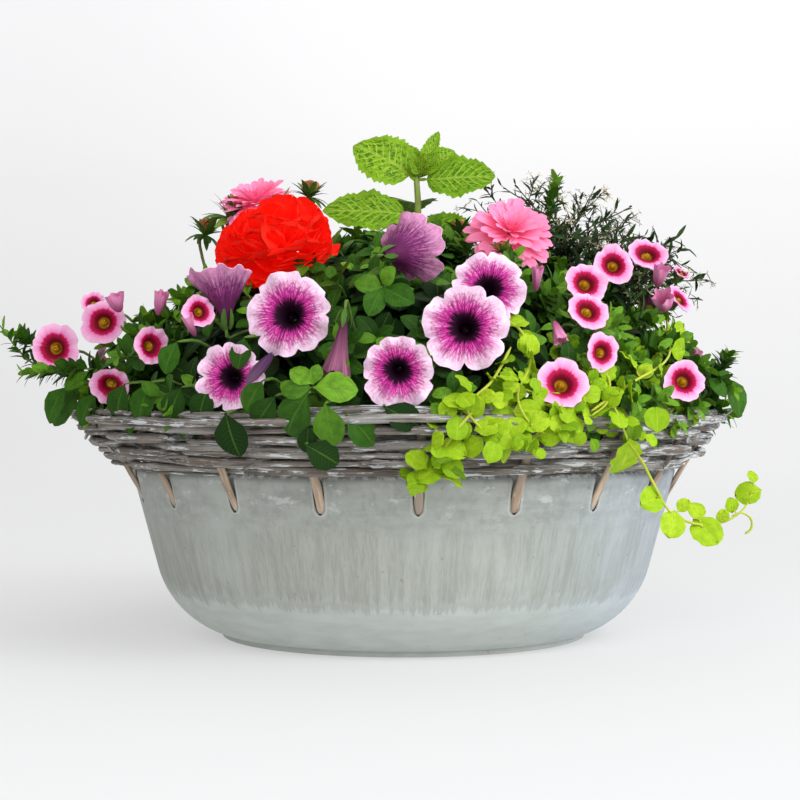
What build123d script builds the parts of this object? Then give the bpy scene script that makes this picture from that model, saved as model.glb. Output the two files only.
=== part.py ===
from build123d import *

import os
from math import acos, cos, degrees, radians, sin, tan

# A round clay planter bowl with a collar of woven willow on its lip, planted for the summer.
# Millimetres, +Z up. The origin is the middle of the foot, on the surface that the bowl stands on.
# The front is at -Y. Every compass angle is measured from +X towards +Y, so the front is at 270.

os.makedirs("parts", exist_ok=True)

# Clay bowl
FOOT_RADIUS = 126
FOOT_HEIGHT = 4
FOOT_STEP = 4
BELLY_RADIUS = 65
BELLY_START = 20
WALL_SLOPE = 75
WALL = 12
LIP_HEIGHT = 119
LIP_FILLET = 5
DRAIN_RADIUS = 11

# Willow collar
STAKES = 19
FIRST_STAKE = 272.7
STAKE_LEAN = 30
STAKE_FOOT_RADIUS = 173
STAKE_FOOT_HEIGHT = 84
STAKE_TOP_HEIGHT = 153.5
STAKE_THICKNESS = 5.4
STAKE_TAPER = 0.28
STAKE_HOLE = 7.2
ROD_THICKNESS = 4.6
WEAVE_RODS = 6
FIRST_ROD_HEIGHT = 123
ROD_PITCH = 4.95
WEAVE_SWING = 6.2
OUTSIDE_BEND = 80
ROW_STAGGER = 2
BORDER_HEIGHT = 153.3
BORDER_OFFSET = 5.7
BORDER_TOP_HEIGHT = 157.5
BORDER_ARC = 359

# Filling
GAP = 0.3
GRAVEL_TOP = 30
CROCK_SPACE = 34
SOIL_TOP = 113

# Planting: a low dome of foliage, split between the plants
CROWN_BOTTOM = 113.3
CROWN_SHOULDER = 160
CROWN_RADIUS = 200
CROWN_RISE = 95
CROWN_SKIRT = [(172, 113.3), (182, 123), (195, 150)]
HEART_RADIUS = 75
HEART_GAP = 1.5
PLANT_GAP = 1
STEM = 1.2
PETUNIA_STEM = 8
CALIBRACHOA_STEM = 10
DAHLIA_STEM = 26
BEGONIA_RADIUS = 38
BEGONIA_DEPTH = 50
COLEUS_STEM = 3.4
COLEUS_HEIGHT = 64
LEAF_THICKNESS = 1.5

# Worked out from the above
belly_centre_r = FOOT_RADIUS + FOOT_STEP - BELLY_RADIUS * sin(radians(BELLY_START))
belly_centre_z = FOOT_HEIGHT + BELLY_RADIUS * cos(radians(BELLY_START))
stake_pitch = 360 / STAKES


def belly_point(radius, angle):
    """A point of the belly's arc, `angle` degrees up from straight below its centre."""
    turn = radians(angle)
    return (belly_centre_r + radius * sin(turn), belly_centre_z - radius * cos(turn))


def wall_point(radius, height):
    """The point at `height` on the straight wall that follows the belly arc of `radius`."""
    start_r, start_z = belly_point(radius, WALL_SLOPE)
    return (start_r + (height - start_z) / tan(radians(WALL_SLOPE)), height)


def compass(angle, radius, height=0):
    """The point at a compass angle and radius."""
    return Vector(radius * cos(radians(angle)), radius * sin(radians(angle)), height)


def stake_axis_radius(height):
    """How far from the middle the stakes' axes are at a height."""
    return STAKE_FOOT_RADIUS + (height - STAKE_FOOT_HEIGHT) * tan(radians(STAKE_LEAN))


def stake_plane(number):
    """A plane at the foot of a stake, square to it."""
    angle = FIRST_STAKE + number * stake_pitch
    lean = radians(STAKE_LEAN)
    along = compass(angle, sin(lean), cos(lean))
    return Plane(origin=compass(angle, STAKE_FOOT_RADIUS, STAKE_FOOT_HEIGHT), z_dir=along)


def radial_plane(angle):
    """An upright plane through the middle, its x axis out along a compass angle and y axis up."""
    return Plane(origin=(0, 0, 0), x_dir=compass(angle, 1), z_dir=compass(angle - 90, 1))


def facing(at, turn, tilt):
    """A plane at a point whose normal looks `turn` degrees right of the front and `tilt` up."""
    flat = cos(radians(tilt))
    normal = (sin(radians(turn)) * flat, -cos(radians(turn)) * flat, sin(radians(tilt)))
    return Plane(origin=at, z_dir=normal)


def finish(part, name):
    """Name a finished piece and write it."""
    part.label = name
    export_step(part, f"parts/{name}.step")


# The clay bowl, turned from one profile
with BuildPart() as bowl:
    with BuildSketch(Plane.XZ):
        with BuildLine():
            outside_start = belly_point(BELLY_RADIUS, BELLY_START)
            outside_end = belly_point(BELLY_RADIUS, WALL_SLOPE)
            inside_start = belly_point(BELLY_RADIUS - WALL, 0)
            inside_end = belly_point(BELLY_RADIUS - WALL, WALL_SLOPE)
            outside_lip = wall_point(BELLY_RADIUS, LIP_HEIGHT)
            inside_lip = wall_point(BELLY_RADIUS - WALL, LIP_HEIGHT)
            Polyline((0, 0), (FOOT_RADIUS, 0), (FOOT_RADIUS, FOOT_HEIGHT), outside_start)
            middle = (BELLY_START + WALL_SLOPE) / 2
            ThreePointArc(outside_start, belly_point(BELLY_RADIUS, middle), outside_end)
            Polyline(outside_end, outside_lip, inside_lip, inside_end)
            ThreePointArc(
                inside_end,
                belly_point(BELLY_RADIUS - WALL, WALL_SLOPE / 2),
                inside_start,
            )
            Polyline(inside_start, (0, inside_start[1]), (0, 0))
        make_face()
    revolve()
    fillet(bowl.edges().group_by(Axis.Z)[-1], radius=LIP_FILLET)
    Hole(radius=DRAIN_RADIUS)
    for number in range(STAKES):
        with BuildSketch(stake_plane(number)):
            Circle(STAKE_HOLE / 2)
        extrude(amount=FOOT_RADIUS, mode=Mode.SUBTRACT)
finish(bowl.part, "bowl")

# The stakes that carry the collar
stake_length = (STAKE_TOP_HEIGHT - STAKE_FOOT_HEIGHT) / cos(radians(STAKE_LEAN))
for number in range(STAKES):
    with BuildPart() as stake:
        with BuildSketch(stake_plane(number)):
            Circle(STAKE_THICKNESS / 2)
        extrude(amount=stake_length, taper=STAKE_TAPER)
    finish(stake.part, f"stake_{number + 1:02d}")


def weave_bend(height):
    """Centre radius of the outside bend, centre radius and bend radius of the inside one."""
    outer = stake_axis_radius(height) + WEAVE_SWING
    inner = stake_axis_radius(height) - WEAVE_SWING
    outer_centre = outer - OUTSIDE_BEND
    reach = cos(radians(stake_pitch))
    inside_bend = OUTSIDE_BEND**2 - outer_centre**2 - inner**2 + 2 * outer_centre * inner * reach
    inside_bend /= 2 * inner - 2 * outer_centre * reach - 2 * OUTSIDE_BEND
    return outer_centre, inner + inside_bend, inside_bend


# The woven rods: each goes once round, outside one stake and inside the next
for row in range(WEAVE_RODS):
    height = FIRST_ROD_HEIGHT + row * ROD_PITCH
    outer_centre, inner_centre, inside_bend = weave_bend(height)
    start_stake = STAKES // 2 + row * ROW_STAGGER
    with BuildPart() as weave_rod:
        with BuildLine() as weave_path:
            for step in range(STAKES):
                from_angle = FIRST_STAKE + (start_stake + step) * stake_pitch
                to_angle = from_angle + stake_pitch
                starts_outside = step % 2 == 1
                outer_angle = from_angle if starts_outside else to_angle
                inner_angle = to_angle if starts_outside else from_angle
                bend_out = compass(outer_angle, outer_centre, height)
                bend_in = compass(inner_angle, inner_centre, height)
                cross = bend_out + (bend_in - bend_out).normalized() * OUTSIDE_BEND
                out_pass = compass(outer_angle, outer_centre + OUTSIDE_BEND, height)
                in_pass = compass(inner_angle, inner_centre - inside_bend, height)
                start = out_pass if starts_outside else in_pass
                end = in_pass if starts_outside else out_pass
                first_half = TangentArc(start, cross, tangent=compass(from_angle + 90, 1))
                TangentArc(cross, end, tangent=first_half % 1)
        with BuildSketch(Plane(origin=weave_path.line @ 0, z_dir=weave_path.line % 0)):
            Circle(ROD_THICKNESS / 2)
        sweep()
    finish(weave_rod.part, f"weave_rod_{row + 1}")

# The border: a rod outside the stakes' tips, one inside them and one on top
border_radius = stake_axis_radius(BORDER_HEIGHT)
borders = {
    "border_rod_outer": (border_radius + BORDER_OFFSET, BORDER_HEIGHT, 95),
    "border_rod_inner": (border_radius - BORDER_OFFSET, BORDER_HEIGHT, 130),
    "border_rod_top": (border_radius, BORDER_TOP_HEIGHT, 60),
}
for name, (radius, height, start_angle) in borders.items():
    with BuildPart() as border_rod:
        with BuildSketch(radial_plane(start_angle)):
            with Locations((radius, height)):
                Circle(ROD_THICKNESS / 2)
        revolve(axis=Axis.Z, revolution_arc=BORDER_ARC)
    finish(border_rod.part, name)

# Broken pot pieces, leaning together over the drain hole
FLOOR = belly_centre_z - BELLY_RADIUS + WALL
CROCK_SPAN = 112
with BuildPart() as drain_crocks:
    for start_angle in (0, 120, 240):
        with BuildSketch(radial_plane(start_angle)):
            with BuildLine():
                Polyline(
                    (5, FLOOR + 10),
                    (CROCK_SPACE - 4, FLOOR + GAP),
                    (CROCK_SPACE - 1, FLOOR + GAP),
                    (CROCK_SPACE - 1, FLOOR + 5),
                    (5, FLOOR + 16),
                    close=True,
                )
            make_face()
        revolve(axis=Axis.Z, revolution_arc=CROCK_SPAN)
finish(drain_crocks.part, "drain_crocks")


def filled(bottom, top, inner_radius):
    """A filling of the bowl between two heights, a small gap clear of its wall."""
    lining = BELLY_RADIUS - WALL - GAP
    start_angle = 0
    if bottom > belly_centre_z - lining:
        start_angle = degrees(acos((belly_centre_z - bottom) / lining))
    end_angle = WALL_SLOPE
    if top < belly_point(lining, WALL_SLOPE)[1]:
        end_angle = degrees(acos((belly_centre_z - top) / lining))
    arc_start = belly_point(lining, start_angle)
    arc_middle = belly_point(lining, (start_angle + end_angle) / 2)
    arc_end = belly_point(lining, end_angle)
    top_edge = arc_end if end_angle < WALL_SLOPE else wall_point(lining, top)
    with BuildPart() as filling:
        with BuildSketch(Plane.XZ):
            with BuildLine():
                Line((inner_radius, arc_start[1]), arc_start)
                ThreePointArc(arc_start, arc_middle, arc_end)
                if end_angle == WALL_SLOPE:
                    Line(arc_end, top_edge)
                Polyline(top_edge, (inner_radius, top_edge[1]), (inner_radius, arc_start[1]))
            make_face()
        revolve()
    return filling.part


finish(filled(FLOOR + GAP, GRAVEL_TOP, CROCK_SPACE), "drainage_gravel")
finish(filled(GRAVEL_TOP + GAP, SOIL_TOP, 0), "compost")


def dome_point(radius):
    """The point of the foliage dome's outline at a radius."""
    rise_angle = acos(radius / CROWN_RADIUS)
    return (radius, CROWN_SHOULDER + CROWN_RISE * sin(rise_angle))


def crown_sector(start_angle, end_angle, inner_radius=HEART_RADIUS + HEART_GAP):
    """The share of the foliage dome between two compass angles, outside the heart."""
    rise_angle = degrees(acos(inner_radius / CROWN_RADIUS))
    with BuildPart() as crown:
        with BuildSketch(radial_plane(start_angle)):
            with BuildLine():
                Polyline((inner_radius, CROWN_BOTTOM), *CROWN_SKIRT, (CROWN_RADIUS, CROWN_SHOULDER))
                EllipticalCenterArc(
                    (0, CROWN_SHOULDER), CROWN_RADIUS, CROWN_RISE, arc_size=rise_angle
                )
                Line(dome_point(inner_radius), (inner_radius, CROWN_BOTTOM))
            make_face()
        revolve(axis=Axis.Z, revolution_arc=end_angle - start_angle - PLANT_GAP)
    return crown.part


# The foliage of the plants that stand round the rim
crowns = {
    "euphorbia_cloud": (25, 75),
    "petunia_back": (75, 125),
    "dahlia_foliage": (125, 155),
    "calibrachoa_left": (155, 205),
    "petunia_front_left": (205, 262),
    "petunia_front_right": (262, 300),
    "creeping_jenny": (300, 335),
    "calibrachoa_right": (335, 385),
}
for name, (start_angle, end_angle) in crowns.items():
    finish(crown_sector(start_angle, end_angle), name)

# The foliage in the middle, from which the coleus grows
with BuildPart() as coleus_heart:
    with BuildSketch(Plane.XZ):
        with BuildLine():
            Polyline((0, CROWN_BOTTOM), (HEART_RADIUS, CROWN_BOTTOM), dome_point(HEART_RADIUS))
            TangentArc(dome_point(0), dome_point(HEART_RADIUS), tangent=(1, 0))
            Line(dome_point(0), (0, CROWN_BOTTOM))
        make_face()
    revolve()
finish(coleus_heart.part, "coleus_heart")


def trumpet(radius, depth, throat, stem_length):
    """A trumpet flower in outline, its open face up at the origin and its stem below it."""
    rim = radius * 0.08
    stem_end = -depth - stem_length
    with BuildPart() as flower:
        with BuildSketch(Plane.XZ):
            with BuildLine():
                Polyline((0, 0), (radius, 0), (radius, -rim), (throat, -depth * 0.45))
                Polyline((throat, -depth * 0.45), (throat * 0.6, -depth), (STEM, -depth))
                Polyline((STEM, -depth), (STEM, stem_end), (0, stem_end), (0, 0))
            make_face()
        revolve()
    return flower.part


def flowers(name, places, shape):
    """A group of flowers: each place is a point, a turn and a tilt in degrees, and a radius."""
    with BuildPart() as group:
        for at, turn, tilt, radius in places:
            with Locations(facing(at, turn, tilt)):
                add(shape(radius))
    finish(group.part, name)


def petunia(radius):
    """A petunia: a broad trumpet."""
    return trumpet(radius, radius * 1.0, radius * 0.3, PETUNIA_STEM)


def calibrachoa(radius):
    """A calibrachoa: a small short trumpet."""
    return trumpet(radius, radius * 1.0, radius * 0.25, CALIBRACHOA_STEM)


# Petunia flowers
petunias_front = [
    ((-70, -186, 216), -12, 10, 28),
    ((-104, -193, 178), -12, 2, 22),
    ((-4, -223, 182), -6, -6, 23),
    ((36, -201, 208), -5, 6, 27),
    ((52, -173, 233), 8, 14, 25),
]
petunias_side = [
    ((5, -148, 258), 55, 45, 22),
    ((-114, -142, 240), -30, 60, 21),
]
petunias_back = [
    ((58, 196, 218), 165, 12, 27),
    ((100, 162, 238), 150, 25, 25),
    ((10, 222, 190), 178, 0, 26),
    ((-48, 206, 208), 192, 8, 28),
    ((-20, 158, 256), 184, 45, 24),
    ((-98, 190, 192), 208, 5, 24),
    ((112, 196, 184), 152, 0, 23),
]
flowers("petunia_blooms_front", petunias_front, petunia)
flowers("petunia_blooms_side", petunias_side, petunia)
flowers("petunia_blooms_back", petunias_back, petunia)


def spindle(radius, length, stem_length):
    """A closed flower or bud in outline: its tip is at the origin and its stem is below it."""
    with BuildPart() as closed:
        with BuildSketch(Plane.XZ):
            with BuildLine():
                Polyline((0, 0), (radius * 0.6, 0), (radius, -length * 0.3), (radius * 0.5, -length))
                Polyline((radius * 0.5, -length), (STEM, -length), (STEM, -length - stem_length))
                Polyline((STEM, -length - stem_length), (0, -length - stem_length), (0, 0))
            make_face()
        revolve()
    return closed.part


with BuildPart() as petunia_bloom_wilted:
    with Locations(facing((-42, -212, 182), 0, -80)):
        add(spindle(8, 40, 6))
finish(petunia_bloom_wilted.part, "petunia_bloom_wilted")

with BuildPart() as petunia_bud:
    with Locations(facing((-76, -212, 190), 20, 40)):
        add(spindle(5, 14, 10))
finish(petunia_bud.part, "petunia_bud")

# Calibrachoa flowers
calibrachoas_left = [
    ((-243, -40, 198), -8, 2, 17),
    ((-205, -34, 216), -6, 12, 16),
    ((-216, -8, 230), -10, 30, 9),
    ((-159, -139, 198), 42, 6, 13),
    ((-188, -115, 173), -6, -28, 14),
    ((-127, -152, 219), 30, 10, 11),
]
calibrachoas_right = [
    ((114, -140, 237), 12, 22, 14),
    ((138, -80, 252), 6, 20, 14),
    ((166, -36, 262), 8, 42, 15),
    ((113, -165, 219), 20, 30, 14),
    ((120, -182, 193), 26, 4, 12),
    ((94, -203, 174), 10, 24, 16),
    ((176, -138, 176), 14, 18, 14),
    ((190, -24, 232), 50, 34, 11),
    ((194, -4, 251), 40, 50, 7),
]
calibrachoas_back = [
    ((156, 144, 208), 138, 18, 15),
    ((188, 104, 194), 118, 12, 14),
    ((212, 54, 190), 100, 14, 15),
    ((178, 62, 232), 116, 36, 14),
    ((-156, 132, 216), 222, 24, 14),
    ((-194, 95, 192), 238, 10, 15),
    ((-218, 38, 190), 260, 12, 14),
    ((-148, 166, 184), 218, 0, 13),
    ((150, 178, 180), 145, 4, 13),
]
flowers("calibrachoa_blooms_left", calibrachoas_left, calibrachoa)
flowers("calibrachoa_blooms_right", calibrachoas_right, calibrachoa)
flowers("calibrachoa_blooms_back", calibrachoas_back, calibrachoa)

# The begonia's one large flower: a cushion of petals
with BuildPart() as begonia_bloom:
    with Locations((-82, -82, 270)):
        Cylinder(BEGONIA_RADIUS, BEGONIA_DEPTH)
    fillet(begonia_bloom.edges().filter_by(GeomType.CIRCLE), radius=BEGONIA_DEPTH * 0.4)
finish(begonia_bloom.part, "begonia_bloom")


def rosette(radius):
    """A double dahlia in outline: a cup of rays on a stem."""
    return trumpet(radius, radius * 0.8, radius * 0.5, DAHLIA_STEM)


def button(radius):
    """A dahlia bud in outline."""
    return spindle(radius, radius * 2, DAHLIA_STEM)


# Dahlia flowers and buds
dahlias = [
    ((-102, -20, 314), -20, 62, 24),
    ((72, -66, 284), 150, 55, 27),
]
dahlia_heads = [
    ((-140, 0, 296), -30, 60, 7),
    ((-120, -20, 303), -30, 30, 6),
    ((-86, -22, 310), 20, 50, 7),
    ((-65, 0, 324), 10, 70, 8),
    ((39, -30, 294), 10, 60, 7),
    ((64, -104, 268), 0, 20, 6),
]
flowers("dahlia_blooms", dahlias, rosette)
flowers("dahlia_buds", dahlia_heads, button)

# Coleus: one stout stem with its leaves in outline
with BuildPart() as coleus_stem:
    with Locations((8, 0, CROWN_SHOULDER + CROWN_RISE + GAP)):
        Cylinder(COLEUS_STEM, COLEUS_HEIGHT, align=(Align.CENTER, Align.CENTER, Align.MIN))
finish(coleus_stem.part, "coleus_stem")


def blade(length, width, thickness):
    """A leaf in outline: flat, its base at the origin and its tip along +X."""
    with BuildPart() as leaf:
        with BuildSketch():
            with BuildLine():
                ThreePointArc((0, 0), (length * 0.45, width / 2), (length, 0))
                ThreePointArc((length, 0), (length * 0.45, -width / 2), (0, 0))
            make_face()
        extrude(amount=thickness)
    return leaf.part


coleus_places = [
    ((3, 0, 320), (-44, -6, 20), 40),
    ((12, 0, 324), (20, 8, 24), 18),
    ((13, -2, 308), (48, -10, 8), 34),
    ((3, -3, 292), (-54, -24, 2), 34),
    ((12, 3, 318), (26, 20, 22), 20),
    ((9, 5, 300), (2, 56, 10), 36),
    ((10, 4, 322), (6, 34, 22), 26),
    ((14, 2, 290), (44, 34, -4), 32),
]
with BuildPart() as coleus_leaves:
    for base, reach, width in coleus_places:
        along = Vector(*reach)
        across = Vector(0, 0, 1).cross(along)
        with Locations(Plane(origin=base, x_dir=along, z_dir=along.cross(across))):
            add(blade(along.length, width, LEAF_THICKNESS))
finish(coleus_leaves.part, "coleus_leaves")


def shoot(points, bend):
    """A thin shoot along a route of straight runs with rounded corners."""
    with BuildPart() as twig:
        with BuildLine() as route:
            FilletPolyline(*points, radius=bend)
        with BuildSketch(Plane(origin=route.line @ 0, z_dir=route.line % 0)):
            Circle(STEM)
        sweep()
    return twig.part


def strand(name, routes, leaf_length, leaf_width):
    """Thin shoots with a pair of leaves at each point of their routes."""
    with BuildPart() as group:
        for points, bend in routes:
            add(shoot(points, bend))
            for before, at in zip(points, points[1:]):
                along = (Vector(*at) - Vector(*before)).normalized()
                level = Vector(0, 0, 1).cross(along).normalized()
                for side in (level, level * -1):
                    with Locations(Plane(origin=at, x_dir=side, z_dir=along.cross(side))):
                        add(blade(leaf_length, leaf_width, LEAF_THICKNESS))
    finish(group.part, name)


# Creeping jenny hanging over the collar
jenny_routes = [
    (
        [
            (112, -166, 172),
            (134, -194, 163),
            (142, -206, 134),
            (150, -202, 112),
            (164, -190, 98),
            (184, -178, 90),
            (204, -168, 92),
            (216, -163, 106),
        ],
        3,
    ),
    ([(26, -202, 172), (40, -224, 164), (52, -232, 144), (36, -232, 128), (14, -230, 120)], 3),
]
strand("jenny_trailers", jenny_routes, 13, 12)

# The calibrachoa's shoot that reaches out on the left
calibrachoa_routes = [
    ([(-186, -58, 178), (-216, -54, 184), (-243, -50, 198), (-262, -46, 212), (-280, -46, 216)], 4),
    ([(-190, -30, 178), (-214, -34, 172), (-232, -44, 160)], 4),
    ([(196, -44, 170), (212, -50, 182), (219, -52, 193)], 4),
]
strand("calibrachoa_shoot", calibrachoa_routes, 12, 5)

# Euphorbia: wiry twigs that stand out of its cloud of small leaves
euphorbia_tips = [
    (54, 22, 322),
    (84, 40, 330),
    (110, 14, 330),
    (136, 26, 326),
    (160, 8, 310),
    (188, 20, 286),
    (214, -4, 250),
    (206, 62, 238),
    (150, 74, 300),
    (96, 92, 312),
    (58, 120, 290),
    (176, 110, 240),
]
TWIG_ROOT = (104, 58, 236)
with BuildPart() as euphorbia_twigs:
    for tip in euphorbia_tips:
        root = Vector(*TWIG_ROOT)
        along = Vector(*tip) - root
        with BuildSketch(Plane(origin=root, z_dir=along)):
            Circle(STEM)
        extrude(amount=along.length)
finish(euphorbia_twigs.part, "euphorbia_twigs")
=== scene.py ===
import math

import bpy
import numpy as np
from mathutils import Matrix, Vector


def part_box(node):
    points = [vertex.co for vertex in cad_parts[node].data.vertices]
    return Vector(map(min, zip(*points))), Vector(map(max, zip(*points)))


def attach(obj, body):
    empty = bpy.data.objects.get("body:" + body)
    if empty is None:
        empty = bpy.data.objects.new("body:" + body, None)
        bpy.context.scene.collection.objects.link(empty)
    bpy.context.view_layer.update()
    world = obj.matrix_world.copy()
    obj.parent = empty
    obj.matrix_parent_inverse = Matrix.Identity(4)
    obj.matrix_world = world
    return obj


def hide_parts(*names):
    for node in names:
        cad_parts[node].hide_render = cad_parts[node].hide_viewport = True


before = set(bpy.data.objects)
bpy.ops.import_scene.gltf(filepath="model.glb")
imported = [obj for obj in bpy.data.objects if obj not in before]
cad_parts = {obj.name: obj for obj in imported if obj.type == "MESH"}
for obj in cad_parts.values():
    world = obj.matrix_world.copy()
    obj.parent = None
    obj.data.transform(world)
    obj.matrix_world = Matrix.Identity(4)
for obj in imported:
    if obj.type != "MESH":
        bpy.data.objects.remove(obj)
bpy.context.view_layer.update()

# A planted clay bowl with a willow collar, dressed around its CAD frame. Everything is in metres.
# The front is at -Y. Compass angles are in degrees from +X towards +Y, so the front is at 270.

scene = bpy.context.scene
UP = np.array([0.0, 0.0, 1.0])
GOLDEN_ANGLE = 2.39996  # radians from one leaf or petal to the next on a spiral
FIFTH = 1.2566  # radians from one sepal or anther to the next


# Small tools ---------------------------------------------------------------------------------

def unit(vector):
    """The vector at length one, or each row of an array of vectors."""
    vector = np.asarray(vector, float)
    return vector / np.maximum(np.linalg.norm(vector, axis=-1, keepdims=True), 1e-9)


def compass(angle, radius, height=0.0):
    """The point at a compass angle in degrees, a radius and a height."""
    turn = math.radians(angle)
    return np.array([radius * math.cos(turn), radius * math.sin(turn), height])


def facing(turn, tilt):
    """The direction `turn` degrees to the right of the front and `tilt` degrees up."""
    flat = math.cos(math.radians(tilt))
    across, ahead = math.sin(math.radians(turn)), -math.cos(math.radians(turn))
    return np.array([across * flat, ahead * flat, math.sin(math.radians(tilt))])


def sideways(axis, angle, hint=(0.2, 0.3, 0.9)):
    """The direction square to an axis, at an angle in radians round it."""
    side = unit(np.cross(axis, hint))
    return math.cos(angle) * side + math.sin(angle) * np.cross(axis, side)


def mm(places):
    """Places given in millimetres, as an array in metres."""
    return np.array(places) / 1000


def stacked(*parts):
    """Coordinates, or other numbers of each point, as one row for each point."""
    return np.stack(np.broadcast_arrays(*parts), axis=-1).reshape(-1, len(parts))


def smooth_noise(rng, count, span):
    """A smooth random curve of `count` values within about one, that changes over `span` of them."""
    knots = max(4, int(count / span) + 2)
    at = np.linspace(0, knots - 1, count)
    coarse = rng.uniform(-1, 1, knots + 1)
    low = at.astype(int)
    share = at - low
    share = share * share * (3 - 2 * share)
    return coarse[low] * (1 - share) + coarse[np.minimum(low + 1, knots)] * share


def grid_faces(rows, cols, closed=False):
    """Quads of a grid of points, rows + 1 by cols + 1, or by cols where it closes on itself."""
    wide = cols if closed else cols + 1
    row, col = np.meshgrid(np.arange(rows), np.arange(cols), indexing="ij")
    here = (row * wide + col).ravel()
    beside = (row * wide + (col + 1) % wide).ravel()
    return np.stack([here, beside, beside + wide, here + wide], axis=1)


class Batch:
    """Gathers many small sheets and tubes into one mesh.

    Each point has a mark, three numbers that the materials read: where it is on its own leaf,
    petal or rod, and a random number that is the same all over that leaf, petal or rod.
    """

    def __init__(self):
        self.points = []
        self.faces = []
        self.marks = []
        self.total = 0

    def add(self, points, faces, marks):
        self.points.append(points)
        self.faces.append(faces + self.total)
        self.marks.append(marks)
        self.total += len(points)

    def piece(self, name, material, slot, *replaced):
        """Make the mesh object, riding on the root, in place of the CAD nodes it stands for."""
        points = np.concatenate(self.points).astype(np.float32)
        faces = np.concatenate(self.faces).astype(np.int32)
        marks = np.concatenate(self.marks).astype(np.float32)
        mesh = bpy.data.meshes.new(name)
        mesh.vertices.add(len(points))
        mesh.vertices.foreach_set("co", points.ravel())
        mesh.loops.add(faces.size)
        mesh.loops.foreach_set("vertex_index", faces.ravel())
        mesh.polygons.add(len(faces))
        mesh.polygons.foreach_set("loop_start", np.arange(0, faces.size, 4, dtype=np.int32))
        mesh.update(calc_edges=True)
        mesh.polygons.foreach_set("use_smooth", np.ones(len(faces), bool))
        mark = mesh.attributes.new("mark", "FLOAT_VECTOR", "POINT")
        mark.data.foreach_set("vector", marks.ravel())
        mesh.materials.append(material)
        piece = bpy.data.objects.new(name, mesh)
        scene.collection.objects.link(piece)
        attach(piece, "root")
        if replaced:
            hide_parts(*replaced)


def aim(points, origin, along, normal, size=1.0):
    """A template's points, its X laid along a direction and its Z towards a normal."""
    x = unit(along)
    z = np.asarray(normal, float) - x * np.dot(normal, x)
    z = unit(z) if np.linalg.norm(z) > 1e-6 else unit(np.cross(x, [0.3, 0.9, 0.1]))
    return points * size @ np.stack([x, np.cross(z, x), z]) + origin


def curve_points(points, count):
    """A smooth line of `count` points through a few points."""
    points = np.asarray(points, float)
    padded = np.vstack([2 * points[0] - points[1], points, 2 * points[-1] - points[-2]])
    line = []
    for at in np.linspace(0, len(points) - 1 - 1e-9, count):
        i = int(at)
        t = at - i
        a, b, c, d = padded[i:i + 4]
        line.append(0.5 * (2 * b + (c - a) * t + (2 * a - 5 * b + 4 * c - d) * t**2
                           + (3 * b - a - 3 * c + d) * t**3))
    return np.array(line)


def tube(batch, line, radii, sides, rng, flatten=0.0, wobble=0.0, blunt=0.35):
    """A tube along a line, with rounded-off ends; its marks are length, angle and a random."""
    line = np.asarray(line, float)
    radii = np.broadcast_to(radii, len(line)).astype(float)
    along = unit(np.gradient(line, axis=0))
    side = np.cross(along[0], UP)
    if np.linalg.norm(side) < 0.1:
        side = np.cross(along[0], [1.0, 0.0, 0.0])
    side = unit(side)
    run = np.concatenate([[0.0], np.cumsum(np.linalg.norm(np.diff(line, axis=0), axis=1))])
    ends = np.array([blunt] + [1.0] * (len(line) - 2) + [blunt])
    angles = np.linspace(0, 2 * math.pi, sides, endpoint=False)
    lumps = 1 + wobble * rng.uniform(-1, 1, (len(line), sides))
    tag = rng.random()
    points, marks = [], []
    for i in range(len(line)):
        side = unit(side - along[i] * np.dot(side, along[i]))
        other = np.cross(along[i], side)
        ring = np.outer(np.cos(angles), side) + np.outer(np.sin(angles) * (1 - flatten), other)
        points.append(line[i] + ring * (radii[i] * ends[i] * lumps[i])[:, None])
        marks.append(np.stack([np.full(sides, run[i]), angles / (2 * math.pi), np.full(sides, tag)], 1))
    batch.add(np.concatenate(points), grid_faces(len(line) - 1, sides, closed=True), np.concatenate(marks))


# Materials -----------------------------------------------------------------------------------

class Value:
    """An output of a shader node, which can be added, subtracted, multiplied and divided."""

    def __init__(self, shader, socket):
        self.shader = shader
        self.socket = socket

    def __add__(self, other):
        return self.shader.math("ADD", self, other)

    def __sub__(self, other):
        return self.shader.math("SUBTRACT", self, other)

    def __rsub__(self, other):
        return self.shader.math("SUBTRACT", other, self)

    def __mul__(self, other):
        return self.shader.math("MULTIPLY", self, other)

    def __truediv__(self, other):
        return self.shader.math("DIVIDE", self, other)


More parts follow.
